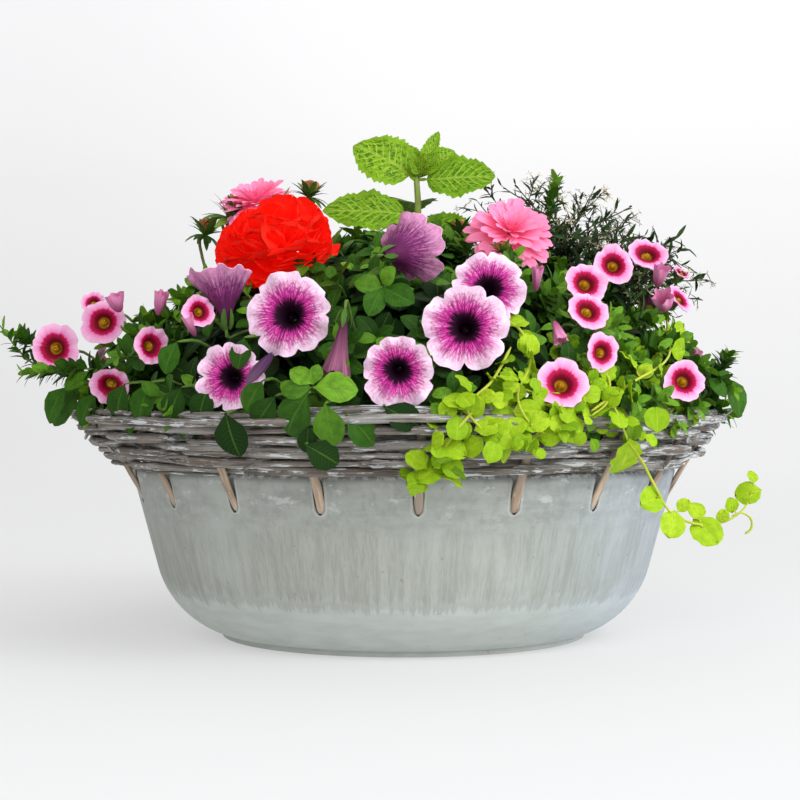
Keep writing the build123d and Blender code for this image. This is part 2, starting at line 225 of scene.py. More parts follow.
class Shader:
    """A short way to write a node material: most methods add a node and return its output."""

    def __init__(self, name):
        self.material = bpy.data.materials.new(name)
        self.material.use_nodes = True
        self.tree = self.material.node_tree
        self.tree.nodes.clear()
        self.output = self.tree.nodes.new("ShaderNodeOutputMaterial")

    def node(self, kind, **inputs):
        node = self.tree.nodes.new("ShaderNode" + kind)
        for name, value in inputs.items():
            self.feed(node, name.replace("_", " "), value)
        return node

    def feed(self, node, name, value):
        """Link or set one input of a node, found by its name or its number."""
        socket = node.inputs[int(name) if name.isdigit() else name]
        if isinstance(value, Value):
            self.tree.links.new(value.socket, socket)
        else:
            socket.default_value = value

    def out(self, node, which=0):
        return Value(self, node.outputs[which])

    def mark(self):
        """The three numbers of the point's own mark."""
        node = self.node("Attribute")
        node.attribute_name = "mark"
        return self.split(self.out(node, "Vector"))

    def place(self):
        """The point's place in the object's frame."""
        return self.out(self.node("TexCoord"), "Object")

    def split(self, vector):
        node = self.node("SeparateXYZ", Vector=vector)
        return [self.out(node, i) for i in range(3)]

    def join(self, x, y, z):
        return self.out(self.node("CombineXYZ", X=x, Y=y, Z=z))

    def math(self, kind, a, b=0.0):
        node = self.node("Math")
        node.operation = kind
        self.feed(node, "0", a)
        self.feed(node, "1", b)
        return self.out(node)

    def vector(self, kind, a, b=(0.0, 0.0, 0.0)):
        node = self.node("VectorMath")
        node.operation = kind
        self.feed(node, "0", a)
        self.feed(node, "1", b)
        return self.out(node, "Value" if kind == "LENGTH" else "Vector")

    def noise(self, vector, scale=1.0, detail=3.0, rough=0.55):
        return self.out(self.node("TexNoise", Vector=vector, Scale=scale, Detail=detail, Roughness=rough))

    def ramp(self, value, low, high):
        """Zero up to `low`, one from `high`, smooth between them."""
        node = self.node("MapRange", Value=value, From_Min=low, From_Max=high)
        node.interpolation_type = "SMOOTHSTEP"
        return self.out(node)

    def mix(self, share, first, second):
        """A colour between two colours."""
        node = self.node("Mix")
        node.data_type = "RGBA"
        self.feed(node, "0", share)
        for index, colour in (("6", first), ("7", second)):
            self.feed(node, index, colour if isinstance(colour, Value) else (*colour, 1.0))
        return self.out(node, 2)

    def bump(self, height, strength, distance):
        return self.out(self.node("Bump", Height=height, Strength=strength, Distance=distance))

    def finish(self, colour, roughness, bump=None, specular=0.5, through=0.0, glow=0.0):
        """The surface: some light passes through it, or it glows a little, where those are over zero."""
        surface = self.node("BsdfPrincipled", Base_Color=colour, Roughness=roughness,
                            Specular_IOR_Level=specular)
        if glow:
            self.feed(surface, "Emission Color", colour)
            self.feed(surface, "Emission Strength", glow)
        if bump:
            self.feed(surface, "Normal", bump)
        shader = surface.outputs[0]
        if through:
            both = self.node("MixShader", Fac=through)
            self.tree.links.new(shader, both.inputs[1])
            self.tree.links.new(self.node("BsdfTranslucent", Color=colour).outputs[0], both.inputs[2])
            shader = both.outputs[0]
        self.tree.links.new(shader, self.output.inputs[0])
        return self.material


def clay_material():
    """Fired clay under a thin grey-green wash, brushed on in upright strokes down to a faint line."""
    s = Shader("washed_clay")
    place = s.place()
    x, y, z = s.split(place)
    ax, ay, _ = s.split(s.vector("NORMALIZE", s.join(x, y, 0.0)))
    # The patterns: upright brush strokes, level marks, clouds and grain
    strokes = s.noise(s.join(ax, ay, z * 0.55), 34.0, 4.0, 0.6)
    fine = s.noise(s.join(ax, ay, z * 0.9), 150.0, 3.0, 0.6)
    level = s.noise(s.join(ax * 0.5, ay * 0.5, z * 12.0), 14.0, 4.0, 0.6)
    cloud = s.noise(place, 13.0, 4.0, 0.6)
    grain = s.noise(place, 700.0, 2.0, 0.6)
    depth = strokes * 0.6 + fine * 0.4
    dark = s.ramp(depth, 0.38, 0.62)
    ragged = z + (depth - 0.5) * 0.03
    washed = s.ramp(ragged, WASH_LINE - 0.004, WASH_LINE + 0.008)
    # The smooth belly, the brushed band above the wash line and the plain band over it
    belly = s.mix(s.ramp(level, 0.3, 0.7), (0.515, 0.550, 0.515), (0.450, 0.485, 0.455))
    streaked = s.mix(dark, (0.395, 0.420, 0.380), (0.322, 0.336, 0.302))
    rough = s.noise(s.vector("MULTIPLY", place, (1.0, 1.0, 0.6)), 150.0, 4.0, 0.7)
    upper = s.mix(s.ramp(level, 0.35, 0.7), (0.385, 0.405, 0.375), (0.325, 0.340, 0.312))
    upper = s.mix(s.ramp(rough, 0.42, 0.66) * 0.45, upper, (0.25, 0.26, 0.24))
    plain = s.ramp(z + (cloud - 0.5) * 0.02, 0.078, 0.09)
    colour = s.mix(washed, belly, s.mix(plain, streaked, upper))
    pale_cloud = s.ramp(cloud, 0.50, 0.75)
    colour = s.mix(pale_cloud * 0.4, colour, (0.5, 0.53, 0.5))
    # A faint dark line along the foot of the wash
    near = s.math("ABSOLUTE", ragged - WASH_LINE)
    line = 1.0 - s.ramp(near, 0.0005, 0.0035)
    colour = s.mix(line * 0.3, colour, (0.27, 0.28, 0.25))
    # White scuffs near the lip
    scuffed = s.noise(s.vector("MULTIPLY", place, (1.0, 1.0, 1.7)), 60.0, 4.0, 0.7)
    near_lip = s.ramp(z, LIP - 0.045, LIP - 0.004)
    pale = s.ramp(scuffed, 0.58, 0.66) * (near_lip * 0.6)
    colour = s.mix(pale, colour, (0.62, 0.64, 0.62))
    # The grooves of the stake holes: painted shade inside, worn pale round the rim
    turn = s.math("ARCTAN2", y, x) / math.radians(PITCH)
    turn = turn - stake_angles[0] / PITCH + 100.5  # above zero, with a hole in the middle of each turn
    wall = 0.184  # the radius of the bowl at the holes
    aside = (s.math("FRACT", turn) - 0.5) * (math.radians(PITCH) * wall)
    below = s.math("MAXIMUM", SLOT_END - z, 0.0)
    from_slot = s.vector("LENGTH", s.join(aside, below, 0.0))
    from_slot = from_slot + (rough - 0.5) * 0.0016
    rim = 1.0 - s.ramp(s.math("ABSOLUTE", from_slot - 0.0043), 0.0002, 0.0009)
    colour = s.mix(rim * 0.32, colour, (0.62, 0.63, 0.6))
    # Painted shade: the inside of each groove is darkened as if in the stake's shadow
    slot = 1.0 - s.ramp(from_slot, 0.003, 0.0036)
    colour = s.mix(slot * 0.5, colour, (0.15, 0.15, 0.14))
    # Painted cool light: bluer towards the right
    painted_cool_light = s.ramp(x, 0.05, 0.2) * 0.95
    colour = s.mix(painted_cool_light, colour, s.vector("MULTIPLY", colour, (0.99, 1.04, 1.24)))
    # Dark specks, the chipped white edge of the lip, and bare clay under the foot
    specks = s.ramp(s.noise(place, 230.0, 1.0, 0.4), 0.755, 0.78)
    colour = s.mix(specks * 0.25, colour, (0.1, 0.1, 0.09))
    chips = s.ramp(s.noise(place, 260.0, 2.0, 0.5), 0.48, 0.55)
    lip_line = s.ramp(z, LIP - 0.0040, LIP - 0.0015)
    colour = s.mix(lip_line * chips, colour, (0.8, 0.8, 0.78))
    height = depth * 0.5 + grain * 0.3
    bare = s.mix(s.ramp(cloud, 0.3, 0.7), (0.42, 0.30, 0.22), (0.34, 0.24, 0.17))
    underside = 1.0 - s.ramp(z, 0.0001, 0.0004)
    colour = s.mix(underside, colour, bare)
    return s.finish(colour, 0.75, s.bump(height, 0.3, 0.0005), specular=0.25)


def wood_material(name, pale, dark, wash_share, wash_colour):
    """Willow: long grain, dark cracks and flecks of old white wash; the extra pale flecks towards the right
    are painted light.
    """
    s = Shader(name)
    run, around, tag = s.mark()
    right = s.ramp(s.split(s.place())[0], 0.02, 0.20)
    grain = s.noise(s.join(run * 30.0, around * 9.0, tag * 90.0), 1.0, 5.0, 0.7)
    patch = s.noise(s.join(run * 26.0, around, tag * 70.0), 1.0, 2.0, 0.5)
    colour = s.mix(s.ramp(grain, 0.34, 0.68), dark, pale)
    rod_shade = s.mix(s.ramp(tag, 0.1, 0.9), (0.17, 0.125, 0.092), (0.37, 0.365, 0.35))
    colour = s.mix(s.ramp(patch, 0.42, 0.62) * 0.6, colour, rod_shade)
    colour = s.mix(s.ramp(s.math("FRACT", tag * 7.3), 0.55, 0.75) * 0.45, colour, dark)
    flaked = s.noise(s.join(run * 62.0, around * 5.0, tag * 50.0), 1.0, 4.0, 0.65)
    # Painted light: more pale flecks towards the right, where the light is brighter and bluer
    flaked = flaked + right * (wash_share * 0.55)
    flakes = s.ramp(flaked, 0.66 - wash_share, 0.69 - wash_share)
    colour = s.mix(flakes * 0.85, colour, wash_colour)
    colour = s.mix(1.0 - s.ramp(grain, 0.30, 0.40), colour, (0.05, 0.045, 0.04))
    return s.finish(colour, 0.82, s.bump(grain + flakes * 0.3, 0.6, 0.0006), specular=0.3)


def soil_material(name, pale, dark, scale):
    """Loose crumbs, damp between them."""
    s = Shader(name)
    place = s.place()
    crumbs = s.noise(place, scale, 6.0, 0.75)
    colour = s.mix(s.ramp(crumbs, 0.35, 0.7), dark, pale)
    return s.finish(colour, 0.92, s.bump(crumbs, 1.0, 0.004), specular=0.2)


def leaf_material(name, young, middle, old_and_shaded, vein, gloss=0.5, mottle=None, relief=0.0005, veined=0.09):
    """A leaf: its own shade of green by its age, where the darkest green is also painted shade for leaves
    deep in the planting, a paler midrib and side veins, dark blotches.
    """
    s = Shader(name)
    along, across, tag = s.mark()
    side = s.math("ABSOLUTE", across)
    colour = s.mix(s.ramp(tag, 0.05, 0.5), old_and_shaded, middle)
    colour = s.mix(s.ramp(tag, 0.55, 1.0), colour, young)
    fan = along * 9.0 - side * 2.6
    rib = 1.0 - s.ramp(side, 0.02, 0.085)
    wave = s.math("ABSOLUTE", s.math("FRACT", fan) - 0.5)
    veins = (1.0 - s.ramp(wave, 0.03, 0.13)) * s.ramp(side, 0.98, 0.35)
    blotch = s.noise(s.join(along * 3.0, across * 1.6, tag * 60.0), 1.4, 3.0, 0.6)
    colour = s.mix(s.ramp(blotch, 0.3, 0.75) * 0.45, colour, old_and_shaded)
    if mottle:
        net = s.noise(s.join(along * 10.0, across * 5.0, tag), 1.6, 4.0, 0.7)
        patches = s.ramp(net, 0.47, 0.56) * s.ramp(side, 1.05, 0.6)
        colour = s.mix(patches, colour, mottle)
    lines = s.math("MAXIMUM", rib * 0.34, veins * veined)
    colour = s.mix(lines, colour, vein)
    height = wave * 0.8 - rib * 0.5
    return s.finish(colour, gloss, s.bump(height, 0.55, relief), specular=0.10, through=0.14)


def stem_material(name, pale, dark):
    """A green shoot with fine lengthwise lines."""
    s = Shader(name)
    run, around, tag = s.mark()
    lines = s.noise(s.join(run * 60.0, around * 8.0, tag), 1.0, 3.0, 0.6)
    colour = s.mix(s.ramp(lines, 0.3, 0.7), dark, pale)
    return s.finish(colour, 0.5, s.bump(lines, 0.4, 0.0003), specular=0.15, through=0.1)


def petunia_material(name, pale, vein, throat, reach=0.0):
    """Petunia petals: pale edges, a net of dark veins that thickens into a near-black throat."""
    s = Shader(name)
    px, py, tag = s.mark()
    flat = s.join(px, py, 0.0)
    out = s.vector("LENGTH", flat)
    ax, ay, _ = s.split(s.vector("NORMALIZE", flat))
    seed = tag * 37.0
    spokes = s.noise(s.join(ax * 9.0, ay * 9.0, seed + out * 1.6), 1.0, 4.0, 0.7)
    mottle = s.noise(s.join(px * 9.0, py * 9.0, seed), 1.0, 3.0, 0.7)
    net = s.node("TexVoronoi", Scale=1.0, Vector=s.join(ax * 11.5, ay * 11.5, seed + out * 5.0))
    net.feature = "DISTANCE_TO_EDGE"
    # Dark threads: the walls of long cells, dots between them and fine rays
    thread = 1.0 - s.ramp(s.out(net, "Distance"), 0.03, 0.16)
    dots = s.noise(s.join(px * 34.0, py * 34.0, seed), 1.0, 2.0, 0.5)
    thread = s.math("MAXIMUM", thread, s.ramp(dots, 0.56, 0.64) * 0.8)
    rays = s.noise(s.join(ax * 15.0, ay * 15.0, seed + out * 1.4), 1.0, 2.0, 0.5)
    thread = s.math("MAXIMUM", thread, s.ramp(rays, 0.53, 0.59))
    # The dark inner part of the petals and how far out the threads fade
    ragged = out + (spokes - 0.5) * 0.85
    inner = 1.0 - s.ramp(ragged, 0.4 + reach, 0.92 + reach)
    fade = 1.0 - s.ramp(out + (mottle - 0.5) * 0.5, 0.5 + reach, 0.96 + reach)
    turn = s.math("ARCTAN2", py, px)
    midrib = s.ramp(s.math("COSINE", turn * 5.0), 0.972, 0.999)
    midrib = midrib * (1.0 - s.ramp(out, 0.55, 0.95))
    # The colours, from the pale edge to the throat
    edge = s.mix(s.ramp(mottle, 0.35, 0.65), pale, tuple(min(1.0, p * 1.12 + 0.04) for p in pale))
    colour = s.mix(inner * 0.95, edge, vein)
    dark_vein = tuple(v * 0.42 for v in vein)
    colour = s.mix(thread * fade * 0.92, colour, dark_vein)
    colour = s.mix(midrib * 0.7, colour, dark_vein)
    rim = out + (spokes - 0.5) * 0.55
    deep = 1.0 - s.ramp(rim, 0.29 + reach, 0.45 + reach)
    colour = s.mix(deep, colour, throat)
    height = spokes * 0.7 + thread * -0.25
    return s.finish(colour, 0.6, s.bump(height, 0.6, 0.0008), specular=0.12, through=0.10)


def calibrachoa_material():
    """Calibrachoa petals: soft pink, a crisp crimson eye and a yellow throat."""
    s = Shader("calibrachoa_petals")
    px, py, tag = s.mark()
    flat = s.join(px, py, 0.0)
    out = s.vector("LENGTH", flat)
    ax, ay, _ = s.split(s.vector("NORMALIZE", flat))
    ragged = s.noise(s.join(ax * 6.0, ay * 6.0, tag * 31.0), 1.0, 3.0, 0.6)
    at = out + (ragged - 0.5) * 0.22
    petal = s.mix(s.ramp(at, 0.50, 0.98), (0.86, 0.14, 0.46), (0.98, 0.56, 0.80))
    rays = s.noise(s.join(ax * 14.0, ay * 14.0, out), 1.0, 2.0)
    petal = s.mix(s.ramp(rays, 0.5, 0.7) * 0.35, petal, (0.9, 0.24, 0.56))
    colour = s.mix(s.ramp(at, 0.55, 0.66), (0.52, 0.004, 0.07), petal)
    colour = s.mix(s.ramp(at, 0.34, 0.56), (0.16, 0.001, 0.012), colour)
    colour = s.mix(s.ramp(out, 0.18, 0.27), (0.72, 0.42, 0.02), colour)
    return s.finish(colour, 0.6, s.bump(rays, 0.5, 0.0006), specular=0.12, through=0.10)


def ray_material(name, base, tip, streak, through=0.10, glow=0.0):
    """Long petals, shaded from base to tip with fine lengthwise lines."""
    s = Shader(name)
    along, across, tag = s.mark()
    lines = s.noise(s.join(along * 1.5, across * 7.0, tag * 40.0), 1.0, 3.0, 0.6)
    colour = s.mix(s.ramp(along, 0.1, 0.9), base, tip)
    colour = s.mix(s.ramp(lines, 0.42, 0.66) * 0.55, colour, streak)
    colour = s.mix(tag * 0.25, colour, streak)
    return s.finish(colour, 0.6, s.bump(lines, 0.5, 0.0008), specular=0.08, through=through, glow=glow)


# Reading the frame ---------------------------------------------------------------------------

def node_points(name):
    """The points of a CAD node's mesh."""
    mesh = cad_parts[name].data
    points = np.zeros(len(mesh.vertices) * 3, np.float32)
    mesh.vertices.foreach_get("co", points)
    return points.reshape(-1, 3).astype(float)


def ring_size(name):
    """The inner radius, outer radius, lowest and highest point of a ring-shaped node."""
    points = node_points(name)
    radii = np.hypot(points[:, 0], points[:, 1])
    return radii.min(), radii.max(), points[:, 2].min(), points[:, 2].max()


def long_axis(name):
    """The two ends of a rod-shaped node, the lower first, and its radius."""
    points = node_points(name)
    middle = points.mean(0)
    _, axes = np.linalg.eigh(np.cov((points - middle).T))
    axis = axes[:, 2] * np.sign(axes[2, 2])
    run = (points - middle) @ axis
    off = points - middle - np.outer(run, axis)
    return middle + axis * run.min(), middle + axis * run.max(), np.linalg.norm(off, axis=1).max()


def islands(name):
    """The separate solids of a CAD node, as arrays of points."""
    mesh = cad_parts[name].data
    points = node_points(name)
    _, same = np.unique(np.round(points, 6), axis=0, return_inverse=True)
    same = same.ravel()
    owner = np.arange(same.max() + 1)
    edges = np.zeros(len(mesh.edges) * 2, np.int32)
    mesh.edges.foreach_get("vertices", edges)
    pairs = same[edges].reshape(-1, 2)
    changed = True
    while changed:
        low = np.minimum(owner[pairs[:, 0]], owner[pairs[:, 1]])
        before = owner.copy()
        np.minimum.at(owner, pairs[:, 0], low)
        np.minimum.at(owner, pairs[:, 1], low)
        owner = owner[owner]
        changed = bool((owner != before).any())
    groups = [points[owner[same] == label] for label in np.unique(owner)]
    return sorted((np.unique(np.round(g, 6), axis=0) for g in groups), key=lambda g: g[:, 0].mean())


def blooms(name):
    """Each flower of a CAD node, from left to right: where its face is, where it looks, its radius."""
    found = []
    for points in islands(name):
        middle = points.mean(0)
        spread, axes = np.linalg.eigh(np.cov((points - middle).T))
        axis = axes[:, 0] if spread[1] - spread[0] > spread[2] - spread[1] else axes[:, 2]
        run = (points - middle) @ axis
        off = np.linalg.norm(points - middle - np.outer(run, axis), axis=1)
        band = 0.1 * np.ptp(run)
        high_radius = off[run > run.max() - band].max()
        low_radius = off[run < run.min() + band].max()
        if high_radius < low_radius:
            axis, run = -axis, -run
        found.append((middle + axis * run.max(), axis, off.max()))
    return found


OPEN_FACES = [flower for name in ("petunia_blooms_front", "calibrachoa_blooms_left",
                                  "calibrachoa_blooms_right", "calibrachoa_blooms_back",
                                  "petunia_blooms_back") for flower in blooms(name)]
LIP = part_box("bowl")[1].z
WASH_LINE = 0.30 * LIP  # the foot of the brushed wash
SLOT_END = LIP - 0.0215  # where the grooves of the stake holes end below
STAKE_NODES = sorted(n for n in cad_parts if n.startswith("stake_"))
ROD_NODES = sorted(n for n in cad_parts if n.startswith("weave_rod_"))
stake_lines = [long_axis(name) for name in STAKE_NODES]
stake_angles = [math.degrees(math.atan2(foot[1], foot[0])) for foot, _, _ in stake_lines]
PITCH = 360 / len(STAKE_NODES)  # degrees from one stake to the next
COLLAR_SLOPE = 0.577  # how far the collar leans out for each bit that it rises


# Willow collar -------------------------------------------------------------------------------

def stakes():
    """Peeled stakes, a little flattened and uneven, each in the place of its CAD stake."""
    material = wood_material("peeled_willow", (0.66, 0.52, 0.39), (0.36, 0.26, 0.185), 0.03,
                             (0.66, 0.63, 0.58))
    for number, (name, (foot, tip, radius)) in enumerate(zip(STAKE_NODES, stake_lines)):
        rng = np.random.default_rng(100 + number)
        batch = Batch()
        along = unit(tip - foot)
        start = (SLOT_END - 0.0020 - foot[2]) / (tip[2] - foot[2])
        line = foot + np.outer(np.linspace(start, 1.0, 20), tip - foot)
        outward = unit(np.array([foot[0], foot[1], 0.0]))
        line += np.outer(smooth_noise(rng, 20, 5) * 0.0006, np.cross(along, outward))
        line += outward * np.linspace(0.0012, 0.0016, 20)[:, None]
        radii = np.linspace(radius * 1.06, radius * 0.95, 20) * (1 + 0.07 * smooth_noise(rng, 20, 3))
        tube(batch, line, radii, 12, rng, flatten=0.38, wobble=0.06, blunt=0.9)
        batch.piece(name + "_willow", material, "willow_peeled", name)


def weave_line(start, turns, phase, height, centre, swing, rng, count):
    """A rod's line: outside one stake, inside the next, drifting a little up and down."""
    angles = start + np.linspace(0, turns * 360, count)
    beat = np.cos(np.radians((angles - stake_angles[0]) / PITCH * 180) + phase * math.pi)
    beat = np.sign(beat) * np.abs(beat) ** 0.8
    radii = centre + swing * beat + 0.0009 * smooth_noise(rng, count, 14)
    heights = height + 0.0012 * smooth_noise(rng, count, 18)
    radii += (heights - height) * 0.6
    turned = np.radians(angles)
    return stacked(radii * np.cos(turned), radii * np.sin(turned), heights)


def flared(line):
    """The line with the collar's own lean: it flares a little more, and to the left, as it rises."""
    flare, lean = 0.7, 0.16
    lift = line[:, 2:3] - LIP
    return line * (1 + flare * lift * [1, 1, 0]) - lift * [lean, 0, 0]


def stub(batch, rng, centre, height, thick, length):
    """The cut or broken end of a rod, sticking out of the weave."""
    angle = rng.uniform(0, 360)
    turn = 1 if rng.random() < 0.5 else -1
    root = compass(angle, centre, height)
    go = compass(angle + turn * rng.uniform(64, 84), 1.0, rng.uniform(-0.30, 0.30))
    bent = UP * rng.uniform(-0.15, 0.15) * length
    line = curve_points([root, root + go * length * 0.5, root + go * length + bent], 6)
    tube(batch, flared(line), np.linspace(1.0, 0.6, 6) * thick, 7, rng, 0.3, 0.2)


def collar():
    """Each course is a few rods, butt to tip, woven between the stakes; odd ends stick out."""
    material = wood_material("weathered_willow", (0.39, 0.355, 0.315), (0.085, 0.072, 0.060), 0.10,
                             (0.66, 0.69, 0.71))
    for row, name in enumerate(ROD_NODES):
        rng = np.random.default_rng(200 + row)
        batch = Batch()
        inner, outer, low, high = ring_size(name)
        thick = (high - low) / 2
        centre = (inner + outer) / 2
        swing = (outer - inner) / 2 - thick
        height = (low + high) / 2 - 0.0015
        for strand in range(13):
            main = strand < 5  # the others are thinner ends, laid over and under these
            start = 72 * strand + 37 * row + rng.uniform(0, 25)
            turns = rng.uniform(0.22, 0.36) if main else rng.uniform(0.10, 0.24)
            count = int(turns * 300)
            lift = 0.0 if main else rng.uniform(-0.8, 0.8) * thick * 1.5
            line = weave_line(start, turns, (row + (not main)) % 2, height + lift, centre, swing, rng, count)
            drift = np.linspace(-1, 1, count) * rng.uniform(-0.0022, 0.0022)
            line[:, 2] += drift
            line[:, :2] *= (1 + (lift + drift) * COLLAR_SLOPE / centre)[:, None]
            line[-2:] += unit(line[-1] * [1, 1, 0]) * rng.uniform(0.0, 0.0035)
            butt = thick * (rng.uniform(1.40, 1.75) if main else rng.uniform(0.75, 1.25))
            radii = np.linspace(butt, butt * 0.68, count) * (1 + 0.09 * smooth_noise(rng, count, 5))
            tube(batch, flared(line), radii, 9, rng, flatten=0.15, wobble=0.09)
        for _ in range(9):
            stub(batch, rng, centre + swing + rng.uniform(-0.002, 0.001), height + rng.uniform(-1, 1) * thick,
                 thick * rng.uniform(0.5, 1.0), rng.uniform(0.008, 0.022))
        batch.piece(name + "_willow", material, "willow_weathered", name)
    border(material)


def border(material):
    """The rim: long rods laid round and over the stakes' tips, a few abreast."""
    for number, name in enumerate(("border_rod_outer", "border_rod_inner", "border_rod_top")):
        rng = np.random.default_rng(300 + number)
        batch = Batch()
        inner, outer, low, high = ring_size(name)
        thick = (high - low) / 2
        centre, height = (inner + outer) / 2, (low + high) / 2 - 0.0012
        for strand in range(9):
            start = strand * 40 + rng.uniform(0, 20)
            turns = rng.uniform(0.20, 0.32)
            count = int(turns * 260)
            angles = np.radians(start + np.linspace(0, turns * 360, count))
            plait = np.linspace(0, turns * 2 * math.pi * 3, count) + strand * 2.1
            radii = centre + 0.0022 * np.cos(plait) + 0.0012 * smooth_noise(rng, count, 12)
            heights = height + 0.0020 * np.sin(plait) + 0.0014 * smooth_noise(rng, count, 12)
            line = stacked(radii * np.cos(angles), radii * np.sin(angles), heights)
            rod = np.linspace(thick * 1.45, thick * 0.85, count) * (1 + 0.09 * smooth_noise(rng, count, 5))
            tube(batch, flared(line), rod, 9, rng, flatten=0.15, wobble=0.09)
        for _ in range(18):
            stub(batch, rng, centre + rng.uniform(-1, 1) * thick, height + rng.uniform(-1, 1) * thick,
                 thick * rng.uniform(0.4, 0.9), rng.uniform(0.010, 0.028))
        batch.piece(name + "_willow", material, "willow_weathered", name)


# Leaves --------------------------------------------------------------------------------------

def leaf_template(rng, wide, swell, point, petiole, rows, cols, fold, curl, teeth=0, tooth=0.0,
                  ripple=0.0, frill=0.0):
    """A leaf of length one along X: its points and each point's place along and across it."""
    u = np.linspace(0, 1, rows + 1)[:, None]
    if not teeth:
        u = (1 - np.cos(math.pi * u)) / 2
    v = np.linspace(-1, 1, cols + 1)[None, :]
    blade = np.clip((u - petiole) / (1 - petiole), 0, 1)
    peak = swell / (swell + point)
    half = blade**swell * (1 - blade)**point / (peak**swell * (1 - peak)**point)
    half = np.maximum(half * wide / 2, 0.012 + 0.012 * (u < petiole))
    if teeth:
        saw = 1 - (blade * teeth) % 1
        half = half * (1 - tooth + tooth * saw * 2)
    fold = fold * rng.uniform(0.6, 1.4)
    curl = curl * rng.uniform(0.4, 1.6) + 0.01
    across = v * half
    lift = fold * np.abs(across) - 0.5 * fold * np.abs(across) * np.abs(v)
    lift = lift + ripple * half * np.abs(v) * np.sin(u * rng.uniform(12, 20) + rng.uniform(0, 6) + 2 * v)
    lift = lift + frill * u**2 * np.sin(v * rng.uniform(6, 10) + rng.uniform(0, 6))
    skew = 0.10 * rng.uniform(-1, 1) * u**2
    turned = curl * u
    along = np.sin(turned) / curl - lift * np.sin(turned)
    down = (1 - np.cos(turned)) / curl
    points = stacked(along, across + skew, lift * np.cos(turned) - down)
    return points, grid_faces(rows, cols), stacked(blade, v)


def leaf_set(seed, count, **shape):
    """A few versions of one leaf."""
    rng = np.random.default_rng(seed)
    return [leaf_template(rng, **shape) for _ in range(count)]


PETUNIA_LEAF = leaf_set(1, 8, wide=0.58, swell=0.62, point=0.62, petiole=0.12, rows=7, cols=4, fold=0.5,
                        curl=0.7, ripple=0.05)
CALIBRACHOA_LEAF = leaf_set(2, 8, wide=0.48, swell=0.55, point=0.6, petiole=0.05, rows=5, cols=2, fold=0.4,
                            curl=0.5)
JENNY_LEAF = leaf_set(3, 8, wide=0.88, swell=0.45, point=0.42, petiole=0.08, rows=10, cols=6, fold=0.28,
                      curl=0.5, ripple=0.13, frill=0.04)
EUPHORBIA_LEAF = leaf_set(4, 6, wide=0.26, swell=0.5, point=0.7, petiole=0.04, rows=4, cols=2, fold=0.4,
                          curl=0.5)
DAHLIA_LEAF = leaf_set(5, 6, wide=0.55, swell=0.6, point=0.8, petiole=0.10, rows=12, cols=4, fold=0.35,
                       curl=0.5, teeth=5, tooth=0.16)
COLEUS_LEAF = leaf_set(6, 6, wide=0.66, swell=0.55, point=0.72, petiole=0.10, rows=30, cols=8, fold=0.30,
                       curl=0.4, teeth=10, tooth=0.10, ripple=0.08)
SEPAL = leaf_set(7, 4, wide=0.30, swell=0.5, point=0.7, petiole=0.02, rows=5, cols=2, fold=0.4, curl=0.5)


def hides_a_flower(point):
    """True just in front of an open flower, or down its throat."""
    for centre, look, radius in OPEN_FACES:
        ahead = np.dot(point - centre, look)
        aside = np.linalg.norm(point - centre - look * ahead)
        if -0.004 < ahead < 0.045 and aside < radius or -0.020 < ahead < 0.0 and aside < radius * 0.4:
            return True
    return False


def put_leaf(batch, kind, rng, origin, along, normal, length, tag, wide=1.0):
    """One leaf, from a point, along a direction, its upper side towards a normal."""
    points, faces, places = kind[rng.integers(len(kind))]
    marks = np.column_stack([places, np.full(len(places), tag)])
    batch.add(aim(points * [1.0, wide, 1.0], origin, along, normal, length), faces, marks)


def shoot(leaves, stems, rng, kind, line_points, count, low, high, pairs=False, thick=0.0011,
          start=0.25, splay=(80, 30), age_and_shade=(0.15, 0.95)):
    """A leafy shoot through a few points, its leaves smaller, steeper and younger towards the tip, and in
    darker green towards its base as painted shade.
    """
    line = curve_points(line_points, 14)
    tube(stems, line, np.linspace(thick, thick * 0.55, 14), 6 if thick > 0.0007 else 4, rng)
    turn = rng.uniform(0, 6.28)
    for i in range(count):
        step = i // 2 if pairs else i
        steps = (count + 1) // 2 if pairs else count
        t = start + (1 - start) * (step + 0.7) / steps
        at = min(t, 0.999) * (len(line) - 1)
        below, above = line[int(at)], line[int(at) + 1]
        here = below + (above - below) * (at % 1)
        along = unit(above - below)
        angle = turn + (step * math.pi / 2 + (i % 2) * math.pi if pairs else i * GOLDEN_ANGLE)
        out = sideways(along, angle + rng.uniform(-0.25, 0.25), (0.31, 0.17, 0.93))
        open_by = math.radians(splay[0] + (splay[1] - splay[0]) * t + rng.uniform(-12, 12))
        reach = along * math.cos(open_by) + out * math.sin(open_by)
        normal = along * 0.9 + UP * 0.55 - out * 0.25
        size = (low + (high - low) * t**1.5) * rng.uniform(0.82, 1.15)
        # Painted shade: the leaves nearer the base, deeper in the planting, get darker greens
        tag = np.clip(age_and_shade[0] + (age_and_shade[1] - age_and_shade[0]) * t**2 + rng.uniform(-0.18, 0.18), 0, 1)
        if not hides_a_flower(here + reach * size * 0.5) and not hides_a_flower(here + reach * size):
            put_leaf(leaves, kind, rng, here, reach, normal, size, tag)


# The outline of the planting from the collar to the top, as radius and height
DOME = np.array([(0.224, 0.150), (0.219, 0.168), (0.200, 0.196), (0.176, 0.216), (0.145, 0.237),
                 (0.110, 0.252), (0.070, 0.264), (0.030, 0.270), (0.0, 0.272)])


SOIL = UP * 0.13  # the middle of the soil, about which the layers under the outline shrink


def dome(angle, share):
    """The point on the planting's outline at a compass angle, `share` of the way to the top."""
    at = share * (len(DOME) - 1)
    i = min(int(at), len(DOME) - 2)
    radius, height = DOME[i] + (DOME[i + 1] - DOME[i]) * (at - i)
    return compass(angle, radius, height)


